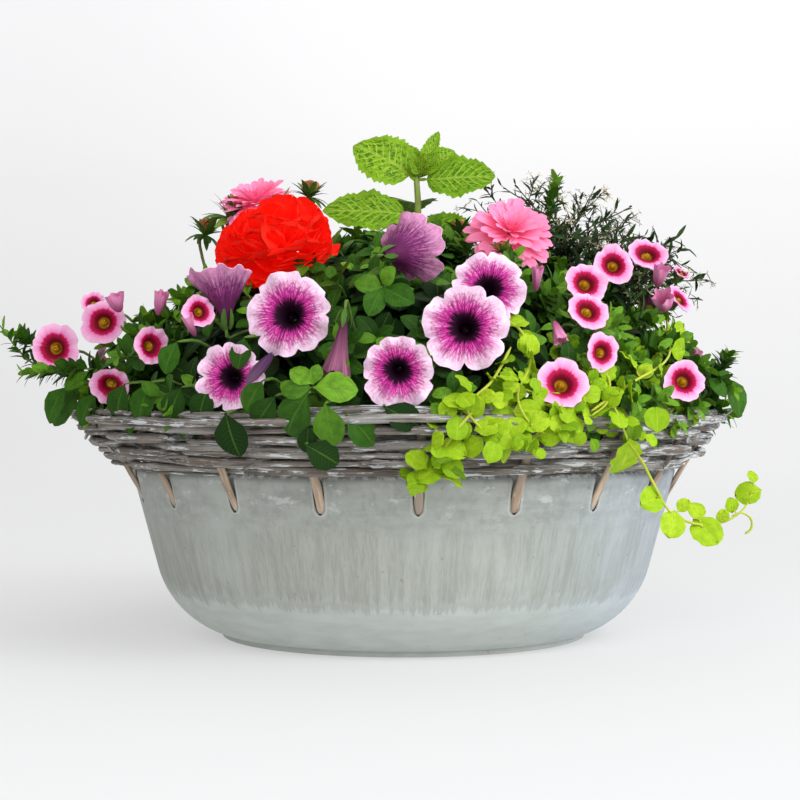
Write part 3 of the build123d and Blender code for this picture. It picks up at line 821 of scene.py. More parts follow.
def mound(leaves, stems, rng, kind, angles, shares, shoots, length, jitter, **shape):
    """Shoots all over a part of the dome, each growing outwards from inside the planting."""
    for _ in range(shoots):
        angle = rng.uniform(*angles)
        share = shares[0] + (shares[1] - shares[0]) * rng.random()
        tip = dome(angle, share) * rng.uniform(1 - jitter, 1 + jitter * 0.5)
        inward = np.array([tip[0] * 0.55, tip[1] * 0.55, 0.125 + 0.35 * (tip[2] - 0.125)])
        root = tip + unit(inward - tip) * length * rng.uniform(0.8, 1.2)
        middle = (tip + root) / 2 + UP * 0.006 + rng.uniform(-1, 1, 3) * 0.006
        shoot(leaves, stems, rng, kind, [root, middle, tip], **shape)


# Flowers -------------------------------------------------------------------------------------

# The outline of a trumpet flower from the end of its tube to its rim, as radius and depth
TRUMPET_AT = (0.0, 0.08, 0.30, 0.42, 0.52, 0.64, 1.0)
TRUMPET_RADIUS = (0.03, 0.10, 0.16, 0.25, 0.40, 0.56, 1.0)
TRUMPET_DEPTH = (-1.0, -0.95, -0.45, -0.18, -0.06, -0.01, 0.0)


def corolla(inside, outside, rng, centre, look, roll, radius, depth, notch=0.15, ruffle=0.085,
            bend=0.22, cup=0.05, rows=14, lobe_cols=14, cone=0.0):
    """A trumpet flower of five joined lobes; its mark is the place on the open face, and a tag."""
    s = np.linspace(0, 1, rows + 1)[:, None]
    turn = np.linspace(0, 2 * math.pi, 5 * lobe_cols, endpoint=False)[None, :]
    phase = (turn * 5 / (2 * math.pi) + 0.5) % 1 - 0.5
    lobe = (turn * 5 / (2 * math.pi) + 0.5).astype(int) % 5
    between = np.abs(phase) * 2
    open_share = np.clip((s - 0.5) / 0.5, 0, 1)
    # The outline: lobes of unequal size, notched between them, with fine waves
    size = (1 + rng.uniform(-0.14, 0.07, 5))[lobe] * (1 - between**2) + between**2
    edge = size * (1 - notch * between**9) * (1 - 0.055 * between**2)
    for waves, height in ((1, 0.035), (11, 0.016), (17, 0.013)):
        edge = edge + height * np.sin(waves * turn + rng.uniform(0, 6))
    # The trumpet, or a plain cone, then ruffles, bent lobes, sunk seams and pleats
    plain = np.interp(s, TRUMPET_AT, TRUMPET_RADIUS) * (1 - cone) + (0.05 + 0.95 * s**1.25) * cone
    flat = plain * (1 + (edge - 1) * open_share)
    rise = (np.interp(s, TRUMPET_AT, TRUMPET_DEPTH) * (1 - cone) - (1 - s) * cone) * depth / radius
    waves = sum(np.sin(k * turn + rng.uniform(0, 6.3)) * rng.uniform(0.5, 1) for k in (4, 7, 9, 12))
    rise = rise + ruffle * 0.6 * open_share**1.6 * waves
    rise = rise + rng.uniform(-bend, bend * 0.7, 5)[lobe] * np.cos(math.pi * phase)**2 * open_share**1.7
    rise = rise - 0.09 * open_share * between**3 - 0.045 * open_share * np.exp(-(phase / 0.07)**2)
    rise = rise + 0.012 * open_share * np.sin(31 * turn + rng.uniform(0, 6) + 3 * open_share)
    rise = rise + cup * open_share
    # The faces, and the backs half a millimetre behind them
    points = stacked(flat * np.cos(turn), flat * np.sin(turn), rise)
    marks = stacked(plain * np.cos(turn), plain * np.sin(turn), rng.random())
    along = sideways(look, math.radians(roll), -UP)
    faces = grid_faces(rows, 5 * lobe_cols, closed=True)
    inside.add(aim(points, centre, along, look, radius), faces, marks)
    away = stacked(np.cos(turn) * (1 - open_share), np.sin(turn) * (1 - open_share), -0.3 - open_share)
    outside.add(aim(points + away * 0.00045 / radius, centre, along, look, radius), faces, marks)


def calyx(leaves, stems, rng, end, look, size, goal):
    """Narrow sepals round the end of a flower's tube, and its stalk going in among the leaves."""
    for i in range(5):
        out = sideways(look, i * FIFTH + rng.uniform(-0.2, 0.2))
        put_leaf(leaves, SEPAL, rng, end - look * 0.003 + out * size * 0.16, look + out * 0.65,
                 out - look * 0.4, size * rng.uniform(0.85, 1.15), rng.uniform(0.3, 0.7))
    middle = (end + goal) / 2 + UP * 0.006
    tube(stems, curve_points([end, end - look * 0.008, middle, goal], 9), 0.0010, 6, rng)


def inside_point(point, depth=0.045):
    """A point deeper in the planting than the given one."""
    inward = np.array([-point[0], -point[1], 0.0])
    return np.array(point) + unit(inward) * depth - UP * 0.018


def eye(batch, rng, centre, look, size):
    """The knot of anthers in a flower's throat."""
    for i in range(5):
        out = sideways(look, i * FIFTH + rng.uniform(-0.3, 0.3)) * size * 0.55
        line = [centre - look * size * 2 + out * 0.3, centre + out * 0.8, centre + look * size * 0.4 + out]
        tube(batch, line, [size * 0.18, size * 0.3, size * 0.42], 6, rng)


class Flowers:
    """A group of trumpet flowers, with each kind of part gathered in its own batch."""

    def __init__(self):
        self.inside, self.outside, self.sepals, self.stems, self.knots = (Batch() for _ in range(5))

    def add(self, rng, centre, look, roll, radius, depth, sepal, sink, knot_depth, knot, **shape):
        """One flower, its calyx and stalk behind it and the anthers in its throat."""
        corolla(self.inside, self.outside, rng, centre, look, roll, radius, depth, **shape)
        end = centre - look * depth
        calyx(self.sepals, self.stems, rng, end, look, sepal, inside_point(end, sink))
        eye(self.knots, rng, centre - look * depth * knot_depth, look, radius * knot)

    def pieces(self, name, plant, face, back, anthers):
        self.inside.piece(name + "_faces", face, plant + "_petal", name)
        self.outside.piece(name + "_backs", back, plant + "_petal", name)
        self.sepals.piece(name + "_sepals", CALYX_GREEN, plant + "_leaf")
        self.stems.piece(name + "_stalks", STALK_GREEN, plant + "_leaf")
        self.knots.piece(name + "_anthers", anthers, plant + "_petal")


CALYX_GREEN = leaf_material("calyx", (0.20, 0.36, 0.05), (0.09, 0.21, 0.03), (0.04, 0.10, 0.02),
                            (0.22, 0.38, 0.08))
STALK_GREEN = stem_material("flower_stalks", (0.16, 0.28, 0.05), (0.07, 0.14, 0.03))


def petunias():
    """The open petunias, and the two at the side that show the backs of their petals."""
    face = petunia_material("petunia_petals", (1.0, 0.66, 0.84), (0.80, 0.020, 0.40), (0.016, 0.001, 0.012))
    back = petunia_material("petunia_petal_backs", (0.62, 0.25, 0.45), (0.33, 0.045, 0.23),
                            (0.13, 0.018, 0.09), reach=0.02)
    dark = ray_material("anthers", (0.03, 0.006, 0.024), (0.07, 0.03, 0.05), (0.02, 0.004, 0.016))
    rolls = {"petunia_blooms_front": (70, 108, 90, 90, 54), "petunia_blooms_side": (90, 90),
             "petunia_blooms_back": (0, 20, 40, 60, 80, 100, 120)}
    side_looks = [unit((-0.12, 0.20, 0.97)), unit((0.52, 0.80, 0.16))]
    for number, (name, turns) in enumerate(rolls.items()):
        rng = np.random.default_rng(400 + number)
        flowers = Flowers()
        side = name == "petunia_blooms_side"
        shape = {"cup": 0.15, "ruffle": 0.10, "bend": 0.22, "cone": 0.8} if side else {}
        for i, ((centre, look, radius), roll) in enumerate(zip(blooms(name), turns)):
            look = side_looks[i] if side else look
            depth = radius * (1.45 if side else 0.62)
            flowers.add(rng, centre, look, roll, radius, depth, 0.013, 0.045, 0.45, 0.075, **shape)
        flowers.pieces(name, "petunia", face, back, dark)


def pleated(batch, rng, top, along, length, width, pleats, flare):
    """A closed or wilted flower: a pleated tube, twisted a little, wider at its mouth."""
    rows, cols = 12, pleats * 4
    s = np.linspace(0, 1, rows + 1)[:, None]
    turn = np.linspace(0, 2 * math.pi, cols, endpoint=False)[None, :]
    fold = 1 + 0.28 * s * np.cos(pleats * turn + 1.5 * s) + 0.06 * np.sin(3 * turn + 5 * s)
    body = 0.20 + 0.80 * np.sin(math.pi * np.clip(s, 0, 1) ** 0.8) ** 0.8 * (1 - flare) + flare * s**2
    radii = width / length * body * fold
    rise = s + 0.05 * s * np.cos(pleats * turn)
    points = stacked(rise, radii * np.cos(turn), radii * np.sin(turn))
    marks = stacked(s, np.cos(pleats * turn), rng.random())
    batch.add(aim(points, top, along, [0.1, -1.0, 0.2], length), grid_faces(rows, cols, closed=True), marks)


def faded_flowers():
    """A wilted petunia hanging between the open ones, and a bud about to open."""
    brown = ray_material("wilted_petals", (0.12, 0.030, 0.07), (0.42, 0.15, 0.25), (0.06, 0.008, 0.035))
    violet = ray_material("bud_petals", (0.16, 0.09, 0.14), (0.045, 0.008, 0.06), (0.22, 0.10, 0.22))
    rng = np.random.default_rng(450)
    low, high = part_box("petunia_bloom_wilted")
    top = np.array([high.x - 0.001, low.y + 0.004, high.z - 0.012])
    batch = Batch()
    hanging = np.array([-0.14, -0.05, -1.0])
    pleated(batch, rng, top, hanging, 0.036, 0.0074, 5, 0.85)
    batch.piece("petunia_wilted", brown, "petunia_petal_dark", "petunia_bloom_wilted")
    sepals, stems = Batch(), Batch()
    calyx(sepals, stems, rng, top, hanging, 0.011, inside_point(top))
    sepals.piece("petunia_wilted_sepals", CALYX_GREEN, "petunia_leaf")
    stems.piece("petunia_wilted_stalk", STALK_GREEN, "petunia_leaf")
    batch = Batch()
    base, tip = np.array([-0.093, -0.214, 0.174]), np.array([-0.079, -0.219, 0.190])
    pleated(batch, rng, base, tip - base, 0.024, 0.0034, 5, 0.1)
    batch.piece("petunia_bud_petals", violet, "petunia_petal_dark", "petunia_bud")


def calibrachoas():
    """The small pink flowers; the one furthest left sits a little closer in than its CAD node."""
    face = calibrachoa_material()
    back = petunia_material("calibrachoa_backs", (0.78, 0.36, 0.56), (0.55, 0.14, 0.33), (0.40, 0.10, 0.12),
                            reach=-0.1)
    yellow = ray_material("calibrachoa_anthers", (0.85, 0.52, 0.04), (0.95, 0.72, 0.12), (0.62, 0.34, 0.03))
    shape = {"notch": 0.12, "ruffle": 0.05, "bend": 0.20, "cup": 0.12, "rows": 11, "lobe_cols": 9}
    for number, side in enumerate(("left", "right", "back")):
        name = "calibrachoa_blooms_" + side
        rng = np.random.default_rng(500 + number)
        flowers = Flowers()
        for centre, look, radius in blooms(name):
            centre = centre + [0.006 if centre[0] < -0.22 else 0.0, 0, 0]
            flowers.add(rng, centre, look, rng.uniform(0, 72), radius, radius * 0.8, 0.009, 0.035, 0.12, 0.17,
                        **shape)
        flowers.pieces(name, "calibrachoa", face, back, yellow)


RUFFLED_PETAL = leaf_set(21, 8, wide=1.15, swell=0.75, point=0.22, petiole=0.0,
                         rows=9, cols=12, fold=-0.25, curl=-0.5, ripple=0.06, frill=0.09)
STRAP_PETAL = leaf_set(22, 8, wide=0.33, swell=0.45, point=0.24, petiole=0.0, rows=6, cols=4, fold=0.5,
                       curl=0.25)


def rosette(batch, kind, rng, centre, look, rings):
    """Rings of petals round a flower's axis, each as (count, angle off the axis, length, start)."""
    for count, lean, length, lift in rings:
        turn = rng.uniform(0, 6.28)
        for i in range(count):
            angle = turn + (i + rng.uniform(-0.22, 0.22)) * 2 * math.pi / count
            off = math.radians(lean + rng.uniform(-8, 8))
            out = sideways(look, angle)
            along = look * math.cos(off) + out * math.sin(off)
            normal = look * math.sin(off) - out * math.cos(off)
            start = centre + look * lift + out * length * 0.10
            put_leaf(batch, kind, rng, start, along, normal, length * rng.uniform(0.88, 1.08), rng.random())


def begonia():
    """One big double flower: ruffled petals all over a flattened ball."""
    # The petals glow a little: painted light that flattens their shading
    red = ray_material("begonia_petals", (1.0, 0.012, 0.005), (1.0, 0.022, 0.009), (1.0, 0.016, 0.007),
                       through=0.25, glow=0.10)
    low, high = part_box("begonia_bloom")
    middle = np.array([(a + b) / 2 for a, b in zip(low, high)]) - [0.0, 0.0, 0.004]
    look = facing(-8, 48)
    rng = np.random.default_rng(601)
    batch = Batch()
    petals = 120
    for i in range(petals):
        lean = math.acos(1 - 1.5 * (i + 0.5) / petals)
        angle = i * GOLDEN_ANGLE
        out = sideways(look, angle, UP)
        spot = look * math.cos(lean) + out * math.sin(lean)
        opened = lean * 0.85 + 0.25
        along = unit(look * math.cos(opened) + out * math.sin(opened) + rng.normal(0, 0.16, 3))
        bulge = 1 + 0.22 * math.sin(3.0 * angle + 1.0) * math.sin(lean)
        start = middle + spot * [0.0155, 0.0155, 0.008] * bulge - look * 0.004 + UP * spot[0] * 0.003
        length = rng.uniform(0.017, 0.027)
        normal = look - along * np.dot(look, along) + rng.normal(0, 0.30, 3)
        put_leaf(batch, RUFFLED_PETAL, rng, start, along * [1.0, 1.0, 0.82], normal, length, rng.random())
    batch.piece("begonia_petals", red, "begonia_petal", "begonia_bloom")


def dahlias():
    """Two pink dahlias on long stalks, and their buds in green sepals."""
    # The rays glow a little: painted light, brightening them as if lit from behind
    pink = ray_material("dahlia_rays", (1.0, 0.16, 0.34), (1.0, 0.35, 0.57), (1.0, 0.21, 0.42), glow=0.08)
    bud_red = ray_material("dahlia_bud_rays", (0.24, 0.28, 0.04), (0.52, 0.16, 0.10), (0.45, 0.34, 0.06))
    green = leaf_material("dahlia_sepals", (0.22, 0.36, 0.05), (0.09, 0.20, 0.025), (0.035, 0.09, 0.015),
                          (0.24, 0.38, 0.08))
    stalk = stem_material("dahlia_stalks", (0.20, 0.26, 0.05), (0.12, 0.12, 0.03))
    rng = np.random.default_rng(620)
    rays, sepals, stems = Batch(), Batch(), Batch()
    looks = (facing(-20, 62), facing(12, 46))
    for (centre, _, radius), look, drop in zip(blooms("dahlia_blooms"), looks, (0.010, 0.004)):
        base = centre - look * radius * 0.35 - UP * drop
        rings = [(19, 96, radius, 0.0), (18, 80, radius * 0.98, 0.001), (16, 62, radius * 0.88, 0.002),
                 (14, 44, radius * 0.70, 0.003), (11, 26, radius * 0.50, 0.004), (6, 8, radius * 0.36, 0.005)]
        rosette(rays, STRAP_PETAL, rng, base, look, rings)
        rosette(sepals, SEPAL, rng, base - look * 0.003, look,
                [(8, 100, radius * 0.45, 0.0), (6, 60, radius * 0.3, 0.0)])
        goal = inside_point(base, 0.02) - UP * 0.075
        tube(stems, curve_points([base, base - look * 0.012 - UP * 0.012, goal], 10), 0.0014, 7, rng)
    buds = Batch()
    for points in islands("dahlia_buds"):
        middle = points.mean(0)
        size = np.ptp(points[:, 0]) / 2
        look = unit(np.array([rng.uniform(-0.5, 0.5), rng.uniform(-0.4, 0.1), 0.9]))
        rosette(buds, RUFFLED_PETAL, rng, middle - look * size * 0.9, look,
                [(7, 30, size * 1.0, 0.0), (6, 14, size * 1.3, 0.0)])
        rosette(sepals, SEPAL, rng, middle - look * size, look,
                [(8, 104, size * 1.8, 0.0), (8, 50, size * 1.8, 0.0), (7, 28, size * 2.1, 0.0)])
        goal = inside_point(middle, 0.015) - UP * 0.07
        tube(stems, curve_points([middle - look * size, middle - look * 0.02, goal], 10), 0.0011, 7, rng)
    buds.piece("dahlia_buds_rays", bud_red, "dahlia_bud", "dahlia_buds")
    rays.piece("dahlia_blooms_rays", pink, "dahlia_petal", "dahlia_blooms")
    sepals.piece("dahlia_sepals", green, "dahlia_leaf")
    stems.piece("dahlia_stalks", stalk, "dahlia_leaf")


# Foliage -------------------------------------------------------------------------------------

# The leaf material of each kind of plant: young, middle and old leaves, the old green also painted shade deep
# in the planting, and the veins
GREENS = {
    "petunia": leaf_material("petunia_leaves", (0.18, 0.40, 0.024), (0.040, 0.132, 0.010),
                             (0.008, 0.030, 0.004), (0.12, 0.28, 0.03)),
    "calibrachoa": leaf_material("calibrachoa_leaves", (0.19, 0.41, 0.026), (0.045, 0.138, 0.011),
                                 (0.010, 0.036, 0.004), (0.12, 0.28, 0.03)),
    "jenny": leaf_material("jenny_leaves", (0.50, 0.69, 0.028), (0.36, 0.57, 0.014), (0.14, 0.31, 0.007),
                           (0.56, 0.74, 0.06), veined=0.08),
    "euphorbia": leaf_material("euphorbia_leaves", (0.13, 0.20, 0.035), (0.038, 0.085, 0.018),
                               (0.012, 0.030, 0.008), (0.10, 0.16, 0.04)),
    "dahlia": leaf_material("dahlia_leaves", (0.11, 0.26, 0.025), (0.034, 0.100, 0.012),
                            (0.010, 0.034, 0.005), (0.09, 0.20, 0.03)),
    "coleus": leaf_material("coleus_leaves", (0.27, 0.47, 0.016), (0.19, 0.37, 0.012), (0.11, 0.25, 0.008),
                            (0.54, 0.70, 0.10), mottle=(0.062, 0.175, 0.006), relief=0.0012, veined=0.5),
}
SHOOT_GREEN = stem_material("green_shoots", (0.17, 0.30, 0.05), (0.07, 0.15, 0.03))


def under_layer():
    """Leaves deep in the planting, that close it to the light, in the darkest green as painted shade."""
    rng = np.random.default_rng(700)
    batch = Batch()
    for share_in in (0.90, 0.80, 0.68):
        for _ in range(420):
            angle = rng.uniform(0, 360)
            spot = dome(angle, rng.random() ** 0.8)
            spot = SOIL + (spot - SOIL) * share_in
            out = unit(spot - [0, 0, 0.08])
            along = unit(np.cross(out, rng.normal(0, 1, 3)) + out * 0.3)
            # Painted shade: these leaves take the darkest green
            put_leaf(batch, PETUNIA_LEAF, rng, spot, along, out, rng.uniform(0.024, 0.034),
                     rng.uniform(0, 0.15))
    batch.piece("coleus_heart_leaves", GREENS["petunia"], "coleus_leaf", "coleus_heart")


def main_foliage():
    """Each plant's leafy shoots, over its own share of the planting."""
    petunia = dict(count=11, low=0.028, high=0.014, length=0.05, jitter=0.05, thick=0.0013, splay=(78, 38),
                   age_and_shade=(0.02, 0.85))
    calibrachoa = dict(count=18, low=0.020, high=0.011, length=0.05, jitter=0.05, thick=0.0008,
                       splay=(70, 30), age_and_shade=(0.12, 1.0))
    crowns = [
        ("petunia_front_left", "petunia", PETUNIA_LEAF, (203, 262), 48, petunia),
        ("petunia_front_right", "petunia", PETUNIA_LEAF, (258, 302), 36, petunia),
        ("petunia_back", "petunia", PETUNIA_LEAF, (72, 128), 46, petunia),
        ("calibrachoa_left", "calibrachoa", CALIBRACHOA_LEAF, (152, 212), 150, calibrachoa),
        ("calibrachoa_right", "calibrachoa", CALIBRACHOA_LEAF, (300, 388), 160, calibrachoa),
        ("dahlia_foliage", "dahlia", DAHLIA_LEAF, (122, 158), 26,
         dict(count=9, low=0.036, high=0.022, length=0.06, jitter=0.04, thick=0.0014, splay=(75, 40))),
    ]
    for number, (name, plant, kind, angles, shoots, shape) in enumerate(crowns):
        rng = np.random.default_rng(720 + number)
        leaves, stems = Batch(), Batch()
        mound(leaves, stems, rng, kind, angles, (0.0, 0.9), shoots, **shape)
        leaves.piece(name + "_leaves", GREENS[plant], plant + "_leaf", name)
        stems.piece(name + "_shoots", SHOOT_GREEN, plant + "_leaf")


def hand_leaves():
    """The large leaves that hang over the collar at the front, each from base to tip."""
    # base, tip and shade of each leaf
    places = [
        ((-106, -207, 157), (-101, -214, 130), 0.05), ((-76, -214, 167), (-90, -217, 147), 0.25),
        ((-56, -226, 169), (-75, -229, 143), 0.40), ((-46, -232, 163), (-43, -237, 137), 0.72),
        ((-58, -230, 139), (-36, -235, 127), 0.12), ((-56, -226, 150), (-57, -228, 133), 0.15),
        ((-34, -226, 156), (-14, -229, 140), 0.42), ((-12, -226, 161), (10, -231, 149), 0.08),
        ((-53, -224, 172), (-27, -230, 174), 0.95), ((-53, -224, 174), (-66, -224, 184), 0.90),
        ((-53, -224, 174), (-50, -226, 186), 0.80), ((-54, -224, 172), (-72, -228, 172), 0.70),
        ((-96, -192, 202), (-99, -200, 184), 0.30), ((-118, -186, 172), (-128, -196, 152), 0.18),
        ((-84, -206, 176), (-96, -214, 160), 0.55), ((-13, -214, 160), (10, -222, 152), 0.30),
        ((-222, -80, 172), (-240, -86, 152), 0.55), ((-157, -160, 175), (-166, -168, 152), 0.35),
        ((22, -212, 168), (34, -222, 150), 0.25), ((-136, -172, 172), (-146, -184, 154), 0.22),
        ((-214, -70, 174), (-238, -76, 149), 0.60), ((215, -62, 178), (230, -68, 155), 0.62),
        ((200, -84, 178), (212, -92, 168), 0.6), ((-200, -96, 168), (-214, -104, 150), 0.35),
        ((-176, -132, 174), (-188, -142, 152), 0.28), ((-205, -84, 182), (-222, -92, 172), 0.7),
        ((-140, -160, 200), (-150, -172, 184), 0.5), ((-13, -192, 232), (-22, -204, 218), 0.62),
        ((-13, -192, 232), (4, -204, 222), 0.50), ((-13, -192, 234), (-10, -206, 240), 0.85),
        ((-13, -192, 232), (-28, -200, 238), 0.75),
    ]
    rng = np.random.default_rng(760)
    leaves, stems = Batch(), Batch()
    for base, tip, tag in places:
        base, tip = mm((base, tip))
        length = np.linalg.norm(tip - base)
        inner = base + unit([-base[0], -base[1], 0]) * 0.03 - UP * 0.004
        normal = unit([base[0], base[1], 0]) + [0.0, -1.0, 0.45]
        put_leaf(leaves, PETUNIA_LEAF, rng, base, tip - base, normal, length, tag, wide=1.22)
        tube(stems, curve_points([inner, (inner + base) / 2 + UP * 0.003, base], 6), 0.0011, 6, rng)
    leaves.piece("petunia_large_leaves", GREENS["petunia"], "petunia_leaf")
    stems.piece("petunia_large_leaf_stalks", SHOOT_GREEN, "petunia_leaf")


# Creeping jenny at the front: each leaf's place across and up, and its width, in millimetres
JENNY_LEAVES = [
    (70, 213, 14), (76, 197, 15), (78, 187, 15), (58, 188, 10), (52, 178, 10), (62, 179, 12), (67, 169, 13),
    (56, 165, 12), (64, 173, 10), (48, 167, 11), (71, 178, 10), (32, 165, 16), (40, 160, 15), (31, 149, 14),
    (40, 138, 15), (58, 144, 20), (28, 138, 17), (18, 138, 14), (16, 124, 20), (28, 120, 18), (9, 117, 15),
    (48, 150, 14), (66, 150, 15), (72, 158, 15), (82, 166, 16), (92, 150, 15), (86, 144, 16), (68, 143, 15),
    (98, 146, 15), (79, 152, 15), (102, 164, 14), (108, 161, 15), (98, 156, 14), (110, 155, 12),
    (90, 160, 12), (124, 182, 17), (126, 170, 13), (118, 174, 12), (118, 157, 14), (124, 165, 13),
    (112, 168, 12), (140, 189, 15), (138, 170, 15), (178, 196, 18), (171, 212, 14), (187, 210, 14),
    (182, 223, 13), (191, 201, 12), (150, 182, 11), (129, 154, 15), (136, 152, 13), (136, 129, 25),
    (61, 134, 12), (75, 139, 11), (104, 150, 12), (22, 130, 12),
]
JENNY_STEMS = [
    [(64, 196), (52, 176), (37, 161), (46, 147), (57, 136)],
    [(44, 162), (32, 149), (24, 137), (17, 123), (9, 116)],
    [(60, 214), (71, 206), (76, 188), (67, 168), (73, 152), (86, 143)],
    [(100, 178), (104, 164), (98, 153), (90, 147)], [(112, 184), (124, 178), (122, 163), (112, 155)],
    [(112, 158), (140, 175), (168, 191), (183, 219)], [(122, 170), (130, 153), (137, 138)],
]
JENNY_TRAILER = [
    (137, -175, 138), (144, -190, 126), (149, -202, 114), (160, -194, 97), (178, -184, 89), (196, -174, 90),
    (209, -168, 98), (215, -165, 110),
]
TRAILER_LEAVES = [
    (148, -204, 106, 18), (161, -198, 91, 18), (168, -192, 101, 10), (182, -186, 86, 21),
    (178, -180, 97, 12), (194, -178, 93, 9), (201, -172, 99, 10), (212, -167, 107, 16), (215, -165, 117, 8),
]


def hung(across, height, off=0.0):
    """The point on the front of the planting, or over the collar, at a place across and a height."""
    heights = (0.100, 0.120, 0.150, *(h for _, h in DOME[1:]))
    radii = (0.206, 0.213, 0.229, *(r + 0.006 for r, _ in DOME[1:]))
    radius = np.interp(height, heights, radii) + off
    return np.array([across, -math.sqrt(max(radius**2 - across**2, 1e-4)), height])


def creeping_jenny():
    """Lime creeping jenny: round leaves in pairs along trailing yellow shoots."""
    lime = stem_material("jenny_shoots", (0.60, 0.66, 0.08), (0.44, 0.52, 0.04))
    rng = np.random.default_rng(780)
    leaves, stems = Batch(), Batch()
    lines = [curve_points([hung(x / 1000, z / 1000) for x, z in route], 26) for route in JENNY_STEMS]
    for line in lines:
        tube(stems, line, np.linspace(0.0010, 0.0007, 26), 6, rng)
    nodes = np.concatenate(lines)
    for across, height, width in JENNY_LEAVES:
        spot = hung(across / 1000, height / 1000, rng.uniform(0.0, 0.004))
        nearest = nodes[np.argmin(np.linalg.norm(nodes - spot, axis=1))]
        away = spot - nearest
        length = width * rng.uniform(0.95, 1.12) / 1000
        along = unit(away + rng.normal(0, 0.0015, 3))
        base = spot - along * length * 0.5
        outward = unit([spot[0], spot[1], 0])
        normal = outward * rng.uniform(0.5, 1.0) + UP * rng.uniform(0.1, 0.8) + rng.normal(0, 0.22, 3)
        put_leaf(leaves, JENNY_LEAF, rng, base, along, normal, length,
                 np.clip(rng.normal(0.66, 0.16), 0.1, 1))
        tube(stems, curve_points([nearest, (nearest + base) / 2 - outward * 0.001, base], 5), 0.0006, 5, rng)
        # Smaller leaves under each one, in a darker green as painted shade
        for _ in range(2):
            under = base + rng.normal(0, 0.006, 3) - outward * rng.uniform(0.002, 0.008)
            if np.linalg.norm(under[:2]) > 0.205 and under[2] < 0.15:
                under += outward * 0.010
            put_leaf(leaves, JENNY_LEAF, rng, under, along + rng.normal(0, 0.7, 3),
                     normal + rng.normal(0, 0.3, 3), length * rng.uniform(0.6, 0.85),
                     np.clip(rng.normal(0.38, 0.16), 0.05, 1))
    for _ in range(26):
        angle = rng.uniform(284, 326)
        tip = dome(angle, rng.random() ** 1.5 * 0.22) * 0.975
        root = tip * [0.8, 0.8, 1.0] + UP * rng.uniform(0.0, 0.015)
        shoot(leaves, stems, rng, JENNY_LEAF, [root, (tip + root) / 2 + UP * 0.01, tip], 9, 0.0150, 0.010,
              pairs=True, thick=0.0009, splay=(82, 50), age_and_shade=(0.1, 0.55))
    leaves.piece("creeping_jenny_leaves", GREENS["jenny"], "jenny_leaf", "creeping_jenny")
    stems.piece("creeping_jenny_shoots", lime, "jenny_leaf")
    leaves, stems = Batch(), Batch()
    line = curve_points(mm(JENNY_TRAILER), 30)
    tube(stems, line, np.linspace(0.0010, 0.0006, 30), 6, rng)
    curl = [(200, -172, 93), (207, -170, 95), (213, -168, 91), (213, -168, 85), (209, -169, 82)]
    tube(stems, curve_points(mm(curl), 16), np.linspace(0.0009, 0.0012, 16), 6, rng, flatten=0.4)
    for x, y, z, width in TRAILER_LEAVES:
        spot = mm((x, y, z))
        nearest = line[np.argmin(np.linalg.norm(line - spot, axis=1))]
        along = unit(spot - nearest + rng.normal(0, 0.001, 3))
        length = width * 1.05 / 1000
        normal = np.array([0.15, -1.0, 0.35]) + rng.normal(0, 0.18, 3)
        put_leaf(leaves, JENNY_LEAF, rng, spot - along * length * 0.5, along, normal, length,
                 rng.uniform(0.6, 0.9))
        tube(stems, curve_points([nearest, (nearest + spot) / 2, spot - along * length * 0.5], 5), 0.0005, 5,
             rng)
    leaves.piece("jenny_trailer_leaves", GREENS["jenny"], "jenny_leaf", "jenny_trailers")
    stems.piece("jenny_trailer_shoots", lime, "jenny_leaf")


def calibrachoa_buds():
    """Pink buds and half-open flowers among the calibrachoa."""
    pink = ray_material("calibrachoa_bud_petals", (0.42, 0.10, 0.20), (0.90, 0.36, 0.60), (0.62, 0.12, 0.34))
    rng = np.random.default_rng(790)
    batch = Batch()
    # base, tip and width of each bud
    places = [
        ((-157, -118, 218), (-154, -124, 232), 5), ((-190, -60, 222), (-193, -64, 233), 7),
        ((166, -84, 238), (169, -92, 250), 6), ((170, -96, 222), (167, -106, 231), 8),
        ((82, -150, 232), (83, -158, 246), 4), ((92, -168, 212), (96, -176, 200), 5),
        ((192, -62, 186), (196, -66, 196), 4), ((-130, -150, 204), (-134, -158, 216), 4),
        ((150, 60, 222), (156, 70, 234), 5), ((-150, 90, 210), (-158, 98, 222), 5),
    ]
    for base, tip, width in places:
        base, tip = mm((base, tip))
        pleated(batch, rng, base, tip - base, np.linalg.norm(tip - base), width / 1000, 5, 0.6)
    batch.piece("calibrachoa_bud_petals", pink, "calibrachoa_petal")


def calibrachoa_shoots():
    """The longer shoots that stick out at the two sides and beside the right dahlia."""
    rng = np.random.default_rng(800)
    leaves, stems = Batch(), Batch()
    routes = [
        [(-190, -34, 176), (-228, -26, 180), (-256, -28, 189), (-277, -32, 215)],
        [(-198, -30, 174), (-230, -34, 181), (-258, -38, 181)],
        [(-236, -28, 184), (-254, -26, 200), (-262, -28, 206)],
        [(-176, -80, 176), (-210, -84, 184), (-236, -90, 182)],
        [(196, -44, 170), (212, -50, 182), (219, -52, 193)],
        [(180, -70, 176), (204, -76, 178), (216, -80, 170)],
        [(90, -34, 262), (98, -40, 288), (103, -42, 311)],
    ]
    for route in routes:
        shoot(leaves, stems, rng, CALIBRACHOA_LEAF, mm(route), 34, 0.016, 0.010, thick=0.0010, start=0.1,
              splay=(62, 30))
    leaves.piece("calibrachoa_shoot_leaves", GREENS["calibrachoa"], "calibrachoa_leaf", "calibrachoa_shoot")
    stems.piece("calibrachoa_shoot_stems", SHOOT_GREEN, "calibrachoa_leaf")


